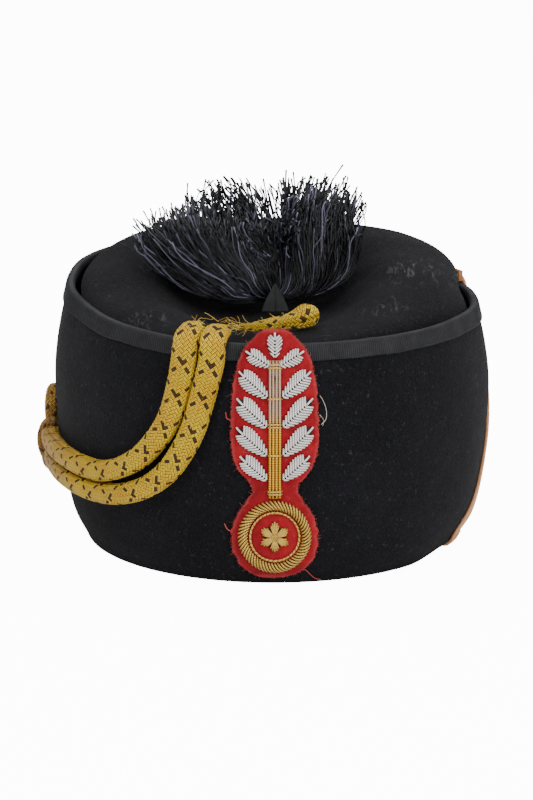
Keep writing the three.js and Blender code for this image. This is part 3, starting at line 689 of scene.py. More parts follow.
def braided(name, rows, columns, around, cells, pitch, relief, ends=0.55):
    # a braided tube through rows of place, outward way and half sizes
    line = smoothRows(rows, columns + 1)
    at, out, across, s = bandFrames(line)
    flat = 2 / braid["squash"]
    reach = ends * line[:, 6]
    near = np.clip(np.minimum(s, s[-1] - s) / reach, 0, 1)
    close = np.sqrt(1 - (1 - near) ** 2)

    # even steps round a section of about the middle's shape
    fine = np.linspace(0, 2 * np.pi, 721)
    wide, tall = np.median(line[:, 6]), np.median(line[:, 7])
    girth = np.stack([wide * np.sign(np.cos(fine)) * np.abs(np.cos(fine)) ** flat,
                      tall * np.sign(np.sin(fine)) * np.abs(np.sin(fine)) ** flat], -1)
    walked = lengthsAlong(girth)

    def place(u, v):
        i = np.rint(u * columns).astype(int)
        turn = np.interp(v * walked[-1], walked, fine)
        a, b = v * cells + s[i] / pitch, v * cells - s[i] / pitch
        step = (np.floor(a) + np.floor(b)) % 4
        over = step < 2
        fa, fb = a % 1, b % 1
        side = np.where(over, fa, fb)
        down = np.where(over, (step + fb) / 2, (step - 2 + fa) / 2)
        pillow = np.sin(np.pi * side) ** 0.7 * (0.35 + 0.65 * np.sin(np.pi * down)) - 0.5
        c, n = np.cos(turn), np.sin(turn)
        w = (line[i, 6] + relief * pillow) * np.sign(c) * np.abs(c) ** flat
        h = (line[i, 7] + relief * pillow) * np.sign(n) * np.abs(n) ** flat
        return at[i] + across[i] * (w * close[i])[:, None] + out[i] * (h * close[i])[:, None]

    piece = drapedGrid(name, columns, around, place)
    measuredUv(piece, s, pitch, cells)
    return piece, at, s[-1]


def braidMaterial(name, light, mid, fleck, metallic, dirt, soil=tone("7d5a18"), ageing=False):
    made, tree, shader = newMaterial(name, Metallic=metallic, Specular_IOR_Level=0.3)
    uv = ownUv(tree)
    a, b = plus(tree, uv[1], uv[0]), calc(tree, "SUBTRACT", uv[1], uv[0])
    ia, ib = calc(tree, "FLOOR", a), calc(tree, "FLOOR", b)
    step = calc(tree, "FLOORED_MODULO", plus(tree, plus(tree, ia, ib), 0.5), 4.0)
    over = calc(tree, "LESS_THAN", step, 2.0)
    under = calc(tree, "SUBTRACT", 1.0, over)
    whole = calc(tree, "SUBTRACT", calc(tree, "FLOOR", step), times(tree, under, 2.0))
    fa, fb = calc(tree, "FRACT", a), calc(tree, "FRACT", b)
    pick = [plus(tree, times(tree, over, p), times(tree, under, q))
            for p, q in ((fa, fb), (fb, fa), (ia, ib))]
    pick[1] = times(tree, plus(tree, whole, pick[1]), 0.5)
    side, down, strand = pick
    turn = calc(tree, "FLOORED_MODULO", plus(tree, strand, 0.5), float(braid["darkEvery"]))
    marked = calc(tree, "LESS_THAN", turn, 1.0)
    # each strand is a few fine parallel threads: the line between neighbours is painted dark as shade, and
    # their raised middles are painted pale as highlight
    weave = times(tree, lines(tree, side, 2), lines(tree, down, 4))
    arch = times(tree, calc(tree, "SINE", times(tree, side, math.pi)),
                 calc(tree, "SINE", times(tree, down, math.pi)))
    handled = useGroup(tree, worn)
    body = blend(tree, ramp(tree, grain(tree, 120, 4, 0.6), [(0.35, 0.0), (0.65, 1.0)]), light, mid)
    furrowShade = times(tree, ramp(tree, weave, [(0.05, 1.0), (0.6, 0.0)]), 0.85)
    crown = times(tree, ramp(tree, weave, [(0.72, 0.0), (0.98, 1.0)]), 0.5)
    threads = blend(tree, crown, blend(tree, furrowShade, body, tone("4e3004")), tone("fff06a"))
    marks = blend(tree, times(tree, marked, 0.97), threads, fleck)
    # each strand's edges, where it dips under its neighbours, are painted dark as shade
    gapShaded = blend(tree, ramp(tree, arch, [(0.0, 0.85), (0.22, 0.0)]), marks, tone("3c2405"))
    if ageing:
        # the cord is browner towards the hat's left side
        east = add(tree, "ShaderNodeSeparateXYZ", objectPlace(tree)).node.outputs[0]
        reach = plus(tree, east, times(tree, grain(tree, 110, 3), 0.016))
        brown = ramp(tree, times(tree, reach, -10.0), [(0.72, 0.0), (0.9, 1.0)])
        gapShaded = blend(tree, times(tree, brown, 0.6), gapShaded, tone("7a4f3c"))
    soiled = blend(tree, times(tree, handled["Dull"], dirt), gapShaded, soil)
    metal = times(tree, calc(tree, "SUBTRACT", 1.0, marked), metallic)
    tree.links.new(metal, shader.inputs["Metallic"])
    rough = ramp(tree, handled["Dust"], [(0, 0.34), (1, 0.55)])
    rough = plus(tree, times(tree, marked, 0.3), rough)
    dress(tree, shader, soiled, plus(tree, arch, times(tree, weave, 0.55)), 0.5, 1.0, rough)
    return made


goldCord = braidMaterial("goldCordMaterial", tone("ffd51c"), tone("f4b80e"), tone("1c0c08"), 0.25, 0.1,
                         ageing=True)
oldCord = braidMaterial("oldCordMaterial", tone("d09c38"), tone("94642c"), tone("1a0c06"), 0.3, 0.45,
                        tone("8a5c4c"))
tipCord = braidMaterial("tipCordMaterial", tone("ffd83c"), tone("e6b41c"), tone("1f1006"), 0.45, 0.15)

cordPieces = []
for name, run, node in (("cordFront", frontRun, "cord_front"), ("cordBack", backRun, "cord_back")):
    piece, line, length = braided(name, cordRows(run), 560, 80, braid["cells"], braid["pitch"],
                                  braid["relief"])
    fitted(piece, goldCord, [node])
    cordPieces.append((piece, line, length))

# The knot and its bight at the left side
print("side knot")
knot = {"angle": math.radians(-95), "height": 35.5, "cells": 12, "pitch": 1.5, "relief": 0.22}


def byKnot(along, rise, out):
    at, way = wallPlace(knot["angle"] + along / 92, knot["height"] + rise, out)
    return [*at, *way]


def knotPart(name, rows, columns, around):
    return braided(name, rows, columns, around, knot["cells"], knot["pitch"], knot["relief"])[0]


bight = [[-1, 4, 5], [-0.5, 11, 4.4], [-2, 17, 4.2], [-7, 21, 4.2], [-12.5, 19.5, 4.2],
         [-15.5, 13.5, 4.2], [-13.5, 6.5, 4.3], [-8.5, 1.5, 4.6], [-3, -2, 5]]
loopPiece = knotPart("knotBight", [byKnot(*p) + [3.4, 2.7] for p in bight], 170, 48)
wraps = []
for turn in np.linspace(0, 2 * math.pi * 0.985, 26):
    along = 2.15 * (math.sin(turn) + 1.6 * math.sin(2 * turn)) - 1
    rise = 2.9 * (math.cos(turn) - 1.6 * math.cos(2 * turn)) - 0.6
    wraps.append(byKnot(along, rise, 6.3 - 2.0 * math.sin(3 * turn)) + [2.9, 2.7])
knotPiece = knotPart("knotWraps", wraps, 220, 44)
collars = []
for along in (5.4, 8.8):
    arc = []
    for turn in np.linspace(-0.35, math.pi + 0.35, 13):
        c, s = math.cos(turn), math.sin(turn)
        arc.append(byKnot(along + 1.3 * c, 2.7 + 9.2 * c, 3.4 + 5.4 * s) + [1.9, 1.7])
    collars.append(braided("knotCollar", arc, 90, 32, 8, 1.4, 0.16)[0])
clearSelection()
for part in (loopPiece, knotPiece, *collars):
    part.select_set(True)
bpy.context.view_layer.objects.active = knotPiece
bpy.ops.object.join()
knotPiece.name = "sideKnot"
fitted(knotPiece, oldCord, ["side_knot"])

# The bare end that lies on the front crest
print("cord tip")
tipRows = [(-14, -77.5, 102.6, 0.9), (-8, -77.2, 103.0, 1.7), (-1, -76.6, 103.7, 2.5), (5, -75.4, 104.6, 2.8),
           (9.6, -74.2, 105.4, 3.9), (13.6, -72, 106.5, 4.7), (17.4, -68.6, 107.0, 4.1)]
tipLine = [[x, y + shape["moveBack"], z, 0, -0.3, 1, r, r * 0.92] for x, y, z, r in tipRows]
tipPiece, _, _ = braided("cordTip", tipLine, 190, 60, 12, 1.6, 0.26, ends=0.9)
fitted(tipPiece, tipCord, ["cord_tip"])

# The red patch
print("red patch")
# the outline: height and half width
patchRows = [
    (4.3, 0.02), (4.6, 5), (6.5, 10.6), (10, 14.6), (15, 17.2), (21, 18.2), (27, 17.6), (32, 15.6),
    (36.5, 12.6), (40.5, 9.8), (44, 10.4), (48, 13.8), (53, 17.2), (59, 18.6), (65, 18.8), (71, 18.8),
    (77, 18.6), (83, 18.4), (89, 17.2), (94, 15.6), (98, 13.6), (102, 9.6), (105.4, 4.6), (105.7, 0.02),
]
patch = {"angle": math.radians(0.5), "gap": 0.5, "thickness": 1.2, "overRibbon": 1.1, "ragged": 0.9}


def patchOff(height):
    foot = float(edgeHeight(patch["angle"])) - ribbon["outerDrop"]
    return patch["gap"] + patch["overRibbon"] * smooth(height, foot - 5.5, foot - 1.2)


def onPatch(across, height, off):
    across, height = np.asarray(across, float), np.asarray(height, float)
    angle = patch["angle"] + across / (76 + shape["lengthExtra"] + 12 * smooth(height, 0, 50))
    return wallPlace(angle, height, patchOff(height) + np.asarray(off, float))[0]


def patchMaterial():
    made, tree, shader = newMaterial("patchMaterial", Roughness=0.92, Sheen_Weight=0.08, Sheen_Roughness=0.5,
                                     Specular_IOR_Level=0.12)
    fibres = useGroup(tree, wool, Size=1.4)
    rim = pointValue(tree, "rim")
    shade = ramp(tree, fibres["Mottle"], [(0.34, tone("630a10")), (0.5, tone("7d0f17")),
                                          (0.66, tone("981a20"))])
    ragged = times(tree, rim, ramp(tree, grain(tree, 300, 3, 0.7), [(0.3, 0.2), (0.6, 1.0)]))
    edged = blend(tree, times(tree, ragged, 0.4), shade, tone("b04c4c"))
    dusty = blend(tree, times(tree, fibres["Flecks"], 0.12), edged, tone("c98880"))
    dress(tree, shader, dusty, fibres["Height"], 0.3, 0.8)
    return made


def redPatch(rows=210, top=56, back=10):
    line = smoothRows([(h, w, 0) for h, w in patchRows], rows + 1)
    heights, widths = line[:, 0], np.maximum(line[:, 1], 0.01)
    # the top face from edge to edge and then back under it
    xs = np.concatenate([np.sin(np.linspace(-math.pi / 2, math.pi / 2, top + 1)),
                         np.linspace(1, -1, back + 1)[1:]])
    offs = np.concatenate([np.full(top + 1, patch["thickness"]), np.zeros(back)])
    offs[[0, 1, top - 1, top]] = [0.55, 0.95, 0.95, 0.55]
    offs[-1] = 0.55
    count = top + back
    edgeShare = np.clip((np.abs(xs) - 0.9) / 0.1, 0, 1)
    ragged = np.array([noise.noise((h * 0.35, 7.0 * side, 0.0)) * patch["ragged"]
                       + noise.noise((h * 1.9, 3.0 * side, 4.0)) * patch["ragged"] / 2
                       for h in heights for side in (-1, 1)]).reshape(-1, 2)

    def place(u, v):
        i = np.rint(v * rows).astype(int)
        j = np.rint(u * count).astype(int)
        side = np.where(xs[j] < 0, 0, 1)
        width = widths[i] + ragged[i, side] * np.abs(xs[j]) ** 6 * smooth(widths[i], 2, 9)
        curl = 0.35 * edgeShare[j] * np.sin(heights[i] * 0.4 + side * 2)
        return onPatch(width * xs[j], heights[i], offs[j] + np.where(offs[j] > 0.3, curl, 0))

    piece = drapedGrid("redPatch", count, rows, place, weld=False)
    ends = smooth(np.abs(heights - 55), 48.5, 50.5)
    rim = np.maximum(np.tile(edgeShare, rows + 1), np.repeat(ends, count + 1))
    piece.data.attributes.new("rim", "FLOAT", "POINT").data.foreach_set("value", rim)
    weldActive(2e-6)
    return piece, heights, widths


patchPiece, patchHeights, patchWidths = redPatch()
fitted(patchPiece, patchMaterial(), ["badge_patch"])

# The embroidery
print("embroidery")
embroidery = {
    "base": patch["thickness"] + 0.12, "middle": 22.4, "leafWire": 0.4, "leafGap": 1.32, "ringPurls": 56,
    "ringWire": 0.42, "petals": 6, "rosetteWire": 0.42, "threadRadius": 10.2, "threadTurns": 58,
    "threadWire": 0.34, "stemBottom": 38.8, "stemTop": 93.4, "rods": 4, "rodStep": 1.36, "rodWire": 0.58,
    "bandWire": 0.36, "bands": (40.4, 41.5, 56.4, 67.6, 68.7, 78.6, 90.4, 91.5),
}
base = embroidery["base"]
silverThread = metalThread("silverBullion", tone("fffdf8"), tone("787472"), 11, 0.2, 0.36, tone("c4bcb4"))
goldThread = metalThread("goldBullion", tone("f4cc64"), tone("54380c"), 11, 0.55, 0.32, tone("96742c"))
purl = thread("purlThread", 8, 9)


def stemMaterial():
    # gold below, dulled to a grey pink above
    made = metalThread("stemBullion", tone("f0b428"), tone("6a4210"), 60, 0.5, 0.36, tone("a06c18"))
    tree = made.node_tree
    colour = tree.nodes["Principled BSDF"].inputs["Base Color"]
    height = add(tree, "ShaderNodeSeparateXYZ", objectPlace(tree)).node.outputs[2]
    uneven = plus(tree, height, times(tree, grain(tree, 200, 3), 0.008))
    dulled = ramp(tree, times(tree, uneven, 10.0), [(0.69, 0.0), (0.78, 0.85)])
    tree.links.new(blend(tree, dulled, colour.links[0].from_socket, tone("a68e80")), colour)
    return made


def purlPiece(name, paths, radius):
    return copies(name, purl, [bent(p, radius) for p in paths], {"shade": rng.random(len(paths))})


def roundel(radius, turn, rise):
    # a point round the middle of the patch's lower end, from its foot
    return onPatch(radius * np.sin(turn), embroidery["middle"] - radius * np.cos(turn), base + rise)


def padding(name, nodes, inward):
    # the imported forms a little shrunk, as the stuffing below the metal threads, coloured dark as painted
    # shade in the gaps between the purls
    clearSelection()
    for node in nodes:
        form = copyOfNode(name, node)
    if len(nodes) > 1:
        bpy.ops.object.join()
    form.name = name
    weldActive(1e-6)
    bpy.ops.object.mode_set(mode="EDIT")
    bpy.ops.transform.shrink_fatten(value=-inward * mm)
    bpy.ops.object.mode_set(mode="OBJECT")
    points = pointsOf(form)
    angle = np.arctan2(points[:, 0], (shape["moveBack"] - points[:, 1]) * 0.875)
    setPoints(form, points + outward(angle) * wobble(angle, points[:, 2])[:, None])
    bpy.ops.object.shade_smooth()
    return form


def shadePaddingMaterial(name, dark, light):
    made, tree, shader = newMaterial(name, Roughness=0.85, Specular_IOR_Level=0.1)
    # the dark tones are painted shade, seen in the gaps between the purls above, not the stuffing's own
    # colour
    shade = ramp(tree, grain(tree, 900, 3, 0.7), [(0.35, dark), (0.7, light)])
    dress(tree, shader, shade, grain(tree, 1600, 2), 0.1, 0.6)
    return made


def satin(ends, centreRise, edgeRise):
    # one purl laid from end to end over a padded form
    a, b = np.asarray(ends[0], float), np.asarray(ends[1], float)
    steps = np.linspace(0, 1, 7)
    rises = np.interp(steps, [0, 0.5, 1], [centreRise, (centreRise * 1.25 + edgeRise) / 2 + 0.25, edgeRise])
    xy = a + (b - a) * steps[:, None]
    return onPatch(xy[:, 0], xy[:, 1], base + rises)


def leafPurls(across, height, lean, length, halfWidth):
    # slanting purls each side of the leaf's middle, and one at its tip
    c, s = math.cos(math.radians(lean)), math.sin(math.radians(lean))
    gap = embroidery["leafGap"]
    paths = []
    rows = int(length * 0.86 / gap)
    for side in (-1, 1):
        for k in range(rows):
            y0 = -0.47 * length + gap * k
            share = min(max((y0 + 0.5 * length + 1.2) / (length * 1.04), 0), 1)
            reach = halfWidth * math.sin(math.pi * share) ** 0.7
            y1 = y0 + 0.85 * reach
            ends = []
            for x, y in ((0.12 * side, y0), (side * reach, min(y1, 0.5 * length))):
                ends.append((across + x * c + y * s, height - x * s + y * c))
            paths.append(satin(ends, 1.5, 0.5))
    tip = [(across + y * s, height + y * c) for y in (0.3 * length, 0.53 * length)]
    paths.append(satin(tip, 1.3, 0.5))
    return paths


# each pair of leaves: across, height, lean in degrees, length and half width
leafRows = [(8.9, 51, 50, 14.4, 3.5), (9.6, 61.8, 50, 16.4, 3.9), (9.6, 73, 50, 16.4, 3.9),
            (9.2, 84, 52, 15.4, 3.7), (7.4, 94, 62, 11.4, 2.9)]
leafPaths = leafPurls(0, 99.2, 0, 9.4, 3.2)
leafNodes = ["badge_bud"]
for i, (across, height, lean, length, halfWidth) in enumerate(leafRows):
    for side, letter in ((-1, "l"), (1, "r")):
        leafPaths += leafPurls(across * side, height, lean * side, length, halfWidth)
        leafNodes.append(f"badge_leaf_{letter}{i + 1}")
fitted(purlPiece("leafPurls", leafPaths, embroidery["leafWire"]), silverThread, leafNodes)
fitted(padding("leafShadePadding", leafNodes, 0.6), shadePaddingMaterial("greyShadePadding", tone("1c1a1c"), tone("3a3638")))

ringPaths = []
for k in range(embroidery["ringPurls"]):
    turn = 2 * math.pi * k / embroidery["ringPurls"] + np.array([-0.12, -0.035, 0.05, 0.14])
    ringPaths.append(roundel(np.array([11.35, 12.6, 13.9, 15.15]), turn, np.array([0.4, 1.5, 1.5, 0.4])))
fitted(purlPiece("ringPurls", ringPaths, embroidery["ringWire"]), goldThread, ["badge_ring"])
brownShadePadding = shadePaddingMaterial("brownShadePadding", tone("1c1006"), tone("3c240e"))
fitted(padding("ringShadePadding", ["badge_ring"], 0.8), brownShadePadding)

rosettePaths = []
for petal in range(embroidery["petals"]):
    for k in range(-2, 3):
        turn = math.pi - 2 * math.pi * (petal / embroidery["petals"] + k / 40)
        r = np.array([1.3, 2.6, 4.2, 6.3 - 0.5 * abs(k) ** 1.5])
        rosettePaths.append(roundel(r, turn, np.array([1.0, 1.25, 1.1, 0.4])))
for k in range(5):
    # small curls in the middle
    turn = 2 * math.pi * k / 5
    curl = np.linspace(0, 5, 6)
    xs = 0.7 * math.sin(turn) + 0.45 * np.cos(curl)
    ys = embroidery["middle"] + 0.7 * math.cos(turn) + 0.45 * np.sin(curl)
    rosettePaths.append(onPatch(xs, ys, base + 1.35 + 0.02 * curl))
fitted(purlPiece("rosettePurls", rosettePaths, embroidery["rosetteWire"]), goldThread,
       ["badge_rosette"])
fitted(padding("rosetteShadePadding", ["badge_rosette"], 0.6), brownShadePadding)

longThread = thread("longThread", 6, 180)
ringThreads = []
for phase in (0, math.pi):
    turn = np.linspace(0, 2 * math.pi, 361)
    wind = turn * embroidery["threadTurns"] + phase
    radius = embroidery["threadRadius"] + 0.3 * np.cos(wind)
    ringThreads.append(roundel(radius, turn, 0.55 + 0.3 * np.sin(wind)))
fitted(copies("ringThread", longThread, [bent(p, embroidery["threadWire"]) for p in ringThreads]), goldThread,
       ["badge_thread"])

rodThread = thread("rodThread", 8, 40)
rods = []
heights = np.linspace(embroidery["stemBottom"], embroidery["stemTop"], 60)
for k in range(embroidery["rods"]):
    side = k - (embroidery["rods"] - 1) / 2
    rods.append(onPatch(side * embroidery["rodStep"] + 0 * heights, heights, base + 1.0 - 0.14 * side ** 2))
bands = []
for middle in embroidery["bands"]:
    turn = np.linspace(0, 1, 13)
    rise = 0.2 + 1.75 * np.sin(np.pi * turn) ** 0.4
    bands.append(onPatch(6.0 * turn - 3.0, middle + 0.2 * np.sin(turn * 3), base + rise))
fitted(copies("stemRods", rodThread, [bent(p, embroidery["rodWire"]) for p in rods]), stemMaterial(),
       ["badge_stem"])
fitted(copies("stemBands", rodThread, [bent(p, embroidery["bandWire"]) for p in bands]), goldThread)
fitted(padding("stemShadePadding", ["badge_stem"], 0.75), brownShadePadding)

# The tassel
print("tassel")
tassel = {
    "head": np.array([1.0, -13 + shape["moveBack"], 102.6]), "top": 147.5,
    "left": 47, "right": 35, "front": 10, "back": 30, "thin": 0.25, "thick": 0.33,
    "halves": (("tasselLeft", 1350, math.pi), ("tasselRight", 1150, 0.0)),
    "combLeft": np.array([-1.15, -0.3, -0.7]), "combRight": np.array([0.25, -0.4, -0.2]),
}
strandThread = thread("strandThread", 3, 22)


def tasselMaterial():
    made, tree, shader = newMaterial("tasselMaterial", Specular_IOR_Level=0.36, Anisotropic=0.4)
    shade = pointValue(tree, "shade")
    # the palest strand tones are painted highlight for the silk's sheen; the darker ones are its own colour,
    # varied at random
    colour = ramp(tree, shade, [(0.0, tone("040405")), (0.55, tone("0d0d11")), (0.85, tone("2a2a34")),
                                (1.0, tone("6c6c80"))])
    pale = ramp(tree, grain(tree, 240, 3, 0.6), [(0.5, 0.0), (0.75, 0.3)])
    patchy = blend(tree, pale, colour, tone("3c3a46"))
    dress(tree, shader, patchy, twist(tree, 260.0), 0.05, 0.5, ramp(tree, shade, [(0.0, 0.34), (1.0, 0.5)]))
    return made


def crownTop(x, y):
    # the felt's upper face under a point of the dish, which the crown's rows from the fifth on give
    back = shape["moveBack"] - y
    angle = np.arctan2(x, back)
    far = np.hypot(x, back)
    r = far - shape["lengthExtra"] * smooth(far, 0, 75) * np.cos(angle) ** 2
    heights, radii = np.array(shape["crown"]).T
    h = np.interp(r, radii[:3:-1], heights[:3:-1])
    return lay(r, h, angle, 1.0)[..., 2] + shape["thickness"] / 2


def tasselStrands(name, count, way):
    # silky yarns leave the head low and outwards, swell like a bowl, rise, fall over and end in hooks
    s = np.linspace(0, 1, 23)
    share = s[:, None]
    head = tassel["head"]
    drift = np.random.default_rng(5)
    waves = [(drift.normal(size=2) * 0.11, drift.uniform(0, 6.28), drift.uniform(2, 6), drift.normal(size=3))
             for _ in range(9)]
    moves, shades = [], []
    for _ in range(count):
        # where the yarn ends: its way round, its share of the bowl's width and its height
        turn = way + rng.uniform(-0.5, 0.5) * math.pi
        out = rng.random() ** (0.22 if rng.random() < 0.65 else 0.6)
        x = out * math.cos(turn) * (tassel["left"] if math.cos(turn) < 0 else tassel["right"])
        y = out * math.sin(turn) * (tassel["front"] if math.sin(turn) < 0 else tassel["back"])
        low = 20 * float(smooth(-x, 16, 52)) + 5 * float(smooth(x, 20, 38))
        tip = np.array([x, y - head[1] * 0.5, tassel["top"] - low - 9 * rng.random() ** 2])
        away = (tip - head) * (1 - 0.3 * rng.random() ** 1.8)
        # its rise from the head, bulged sideways and to the front
        flat = 1 - (1 - share) ** (1.5 + 0.9 * out)
        tall = share ** (1.15 + 0.65 * out)
        path = head + np.concatenate([away[:2] * flat, away[2] * tall], 1)
        path[:, 0] += 0.12 * x * np.sin(np.pi * np.clip(s * 0.85, 0, 1))
        bulge = 12 * float(smooth(8 - y, 0, 12)) * float(smooth(abs(x), 3, 18))
        path[:, 1] -= bulge * np.sin(np.pi * s ** 0.8) * out
        # the sway it shares with its neighbours, the way it is combed, and its own unevenness
        sway = sum(np.sin(np.array([x, y]) @ u + phase + s * pace)[:, None] * v
                   for u, phase, pace, v in waves)
        path = path + sway * 1.9 * share ** 0.9
        comb = tassel["combLeft"] if x < 4 else tassel["combRight"]
        path = path + comb * rng.uniform(2, 13) * smooth(share, 0.5, 1.1)
        path = path + rng.normal(size=3) * (0.35 + 1.1 * share ** 1.5)
        path = path + 0.62 * np.sin(share * rng.uniform(9, 17) + rng.uniform(0, 6.28, 3)) * share ** 0.7
        if rng.random() < 0.006:
            path = path + away / np.linalg.norm(away) * share ** 4 * rng.uniform(4, 10)
        # the hook at its end
        curl = np.clip((s - 0.76) / 0.24, 0, 1)
        spin = rng.uniform(0, 6.28) + curl * rng.uniform(1.5, 5.5)
        size = rng.uniform(0.5, 2.0) * curl ** 1.1
        hook = np.cos(spin)[:, None] * rng.normal(size=3) + np.sin(spin)[:, None] * rng.normal(size=3)
        path = path + hook * size[:, None]
        felt = crownTop(path[:, 0], path[:, 1])
        path[:, 2] = np.maximum(path[:, 2], felt + 0.3 + 1.2 * s * rng.random())
        wire = rng.uniform(tassel["thin"], tassel["thick"])
        moves.append(bent(path, lambda t, wire=wire: wire * (1 + 0.55 * (t > 0.97))))
        shades.append(rng.random())
    return copies(name, strandThread, moves, {"shade": shades})


silk = tasselMaterial()
for name, count, way in tassel["halves"]:
    fitted(tasselStrands(name, count, way), silk, ["tassel"])

# The folded tab at the tassel's foot
print("tassel tab")
tab = {"height": 11.2, "x": 1, "y": -21.6 + shape["moveBack"], "foot": 98.9, "lean": 0.12, "thickness": 1.1}


def tabPiece():
    tall = np.array([0, 0.12, 0.5, 0.93, 1.0]) * tab["height"]
    wide = np.array([5.6, 5.3, 3.6, 1.0, 0.05])
    c, s = math.cos(tab["lean"]), math.sin(tab["lean"])

    def place(u, v):
        h = v * tab["height"]
        x = (2 * u - 1) * np.interp(h, tall, wide)
        out = 1.3 - 0.9 * np.exp(-np.abs(x) / 0.5) - 0.35 * np.abs(x) / wide[0]
        return np.stack([tab["x"] + x, tab["y"] - out * c + h * s, tab["foot"] + h * c], -1)

    piece = drapedGrid("tabFold", 28, 30, place)
    thick = piece.modifiers.new("thickness", "SOLIDIFY")
    thick.thickness = tab["thickness"] * mm
    thick.offset = -1
    bpy.ops.object.modifier_apply(modifier="thickness")
    return piece


def tabMaterial():
    made, tree, shader = newMaterial("tabMaterial", Roughness=0.6, Specular_IOR_Level=0.4)
    shade = ramp(tree, grain(tree, 200, 4, 0.6), [(0.35, tone("0c0e0f")), (0.65, tone("1b1e20"))])
    ribs = lines(tree, ownUv(tree)[1], 34)
    dress(tree, shader, shade, plus(tree, ribs, grain(tree, 1200, 2)), 0.12, 0.8)
    return made


fitted(tabPiece(), tabMaterial(), ["tassel_tab"])

# The chin strap
print("chin strap")
strap = {
    "width": 10.0, "thickness": 1.4, "gap": 0.12, "inside": 20, "keeper": 1.1, "curve": 190,
    # where it passes under the hat and over its edge, and its course round the back, in degrees
    "rightUnder": shape["strapUnder"][0], "rightOver": 113, "leftUnder": shape["strapUnder"][1],
    "leftOver": 206, "back": (132, 145, 158, 171, 184), "backHeight": 99.3,
}


def strapRow(r, h, degreesRound, outAcross, outUp):
    angle = math.radians(degreesRound)
    at = lay(r, h, angle)
    return [*at, *turnedAbout(angle, (0, -outAcross, outUp))]


def strapSide(bottom, top):
    # from inside the hat round the fold, up the cuff and over its edge
    half = strap["thickness"] / 2 + strap["gap"]
    foldOut = shape["foldRadius"] + shape["thickness"] / 2
    centre = (float(wallWidth(2.3)) - foldOut, foldOut * math.cos(math.pi / 10))
    innerFace = shape["thickness"] + 2 * shape["foldRadius"] + half + 1.5
    rows = [strapRow(float(wallWidth(h)) - innerFace, h, bottom, -1, 0) for h in (strap["inside"], 14, 8)]
    for turn in (-155, -122, -90, -58, -25):
        c, s = math.cos(math.radians(turn)), math.sin(math.radians(turn))
        reach = foldOut + half + (1.2 if c < -0.3 else 0)
        rows.append(strapRow(centre[0] + reach * c, centre[1] + (foldOut + half) * s, bottom, c, s))
    for i, h in enumerate((8, 16, 28, 42, 56, 70, 82, 90)):
        angle = math.radians(bottom + (top - bottom) * ((h - 8) / 82) ** 0.85)
        at, out = wallPlace(angle, h, half + (0.5 if i == 7 else 0))
        rows.append([*at, *out])
    past = edgeRibbonTop + half + 0.25
    edge = shape["edge"]
    w, w5 = float(wallWidth(edge)), float(wallWidth(edge - 5))
    lift = edge + past + strap["keeper"]
    for r, h, across, rise in ((w5 + past + 0.1, edge - 5, 1, 0), (w + past, edge + 0.9, 0.95, 0.3),
                               (w + 0.3, lift + 0.8, 0.3, 1), (w - 1, lift + 0.9, 0, 1),
                               (w - 2.3, lift + 0.8, -0.3, 1),
                               (w - shape["thickness"] - past - 0.6, edge + 0.6, -0.95, 0.2)):
        rows.append(strapRow(r, h, top, across, rise))
    return rows


def inGap(degreesRound, h):
    # a row between the cuff and the crown
    return strapRow(81.3 + 0.23 * (shape["edge"] - h), h, degreesRound, -0.975, -0.224)


def chinStrap(steps=460):
    turnIn = [(0.3, 105.4), (1.3, 102.4), (3, 100.4), (5.6, 99.5), (10, strap["backHeight"])]
    rows = strapSide(strap["rightUnder"], strap["rightOver"])
    rows += [inGap(strap["rightOver"] + a, h) for a, h in turnIn]
    rows += [inGap(a, strap["backHeight"]) for a in strap["back"]]
    rows += [inGap(strap["leftOver"] - a, h) for a, h in turnIn][::-1]
    rows += strapSide(strap["leftUnder"], strap["leftOver"])[::-1]
    at, out, across, s = bandFrames(smoothRows(rows, steps + 1))
    w, th = strap["width"] / 2, strap["thickness"] / 2
    outline = np.array([
        (-w + 0.5, th), (-w + 0.8, th - 0.12), (-w + 1.1, th), (0, th + 0.05), (w - 1.1, th),
        (w - 0.8, th - 0.12), (w - 0.5, th), (w - 0.1, th - 0.25), (w, 0), (w - 0.1, -th + 0.25),
        (w - 0.5, -th), (0, -th), (-w + 0.5, -th), (-w + 0.1, -th + 0.25), (-w, 0), (-w + 0.1, th - 0.25),
        (-w + 0.5, th),
    ])
    count = len(outline) - 1

    def place(u, v):
        i = np.rint(u * steps).astype(int)
        j = np.rint(v * count).astype(int)
        a, o = outline[j].T
        a = a * (1 + 0.012 * np.sin(s[i] / 9)) + 0.12 * np.sin(s[i] / 23)
        o = o - a * a / strap["curve"]
        return at[i] + across[i] * a[:, None] + out[i] * o[:, None]

    piece = drapedGrid("chinStrap", steps, count, place)
    measuredUv(piece, s)
    bpy.ops.object.mode_set(mode="EDIT")
    bpy.ops.mesh.select_all(action="DESELECT")
    bpy.ops.mesh.select_non_manifold()
    bpy.ops.mesh.fill()
    bpy.ops.object.mode_set(mode="OBJECT")
    return piece


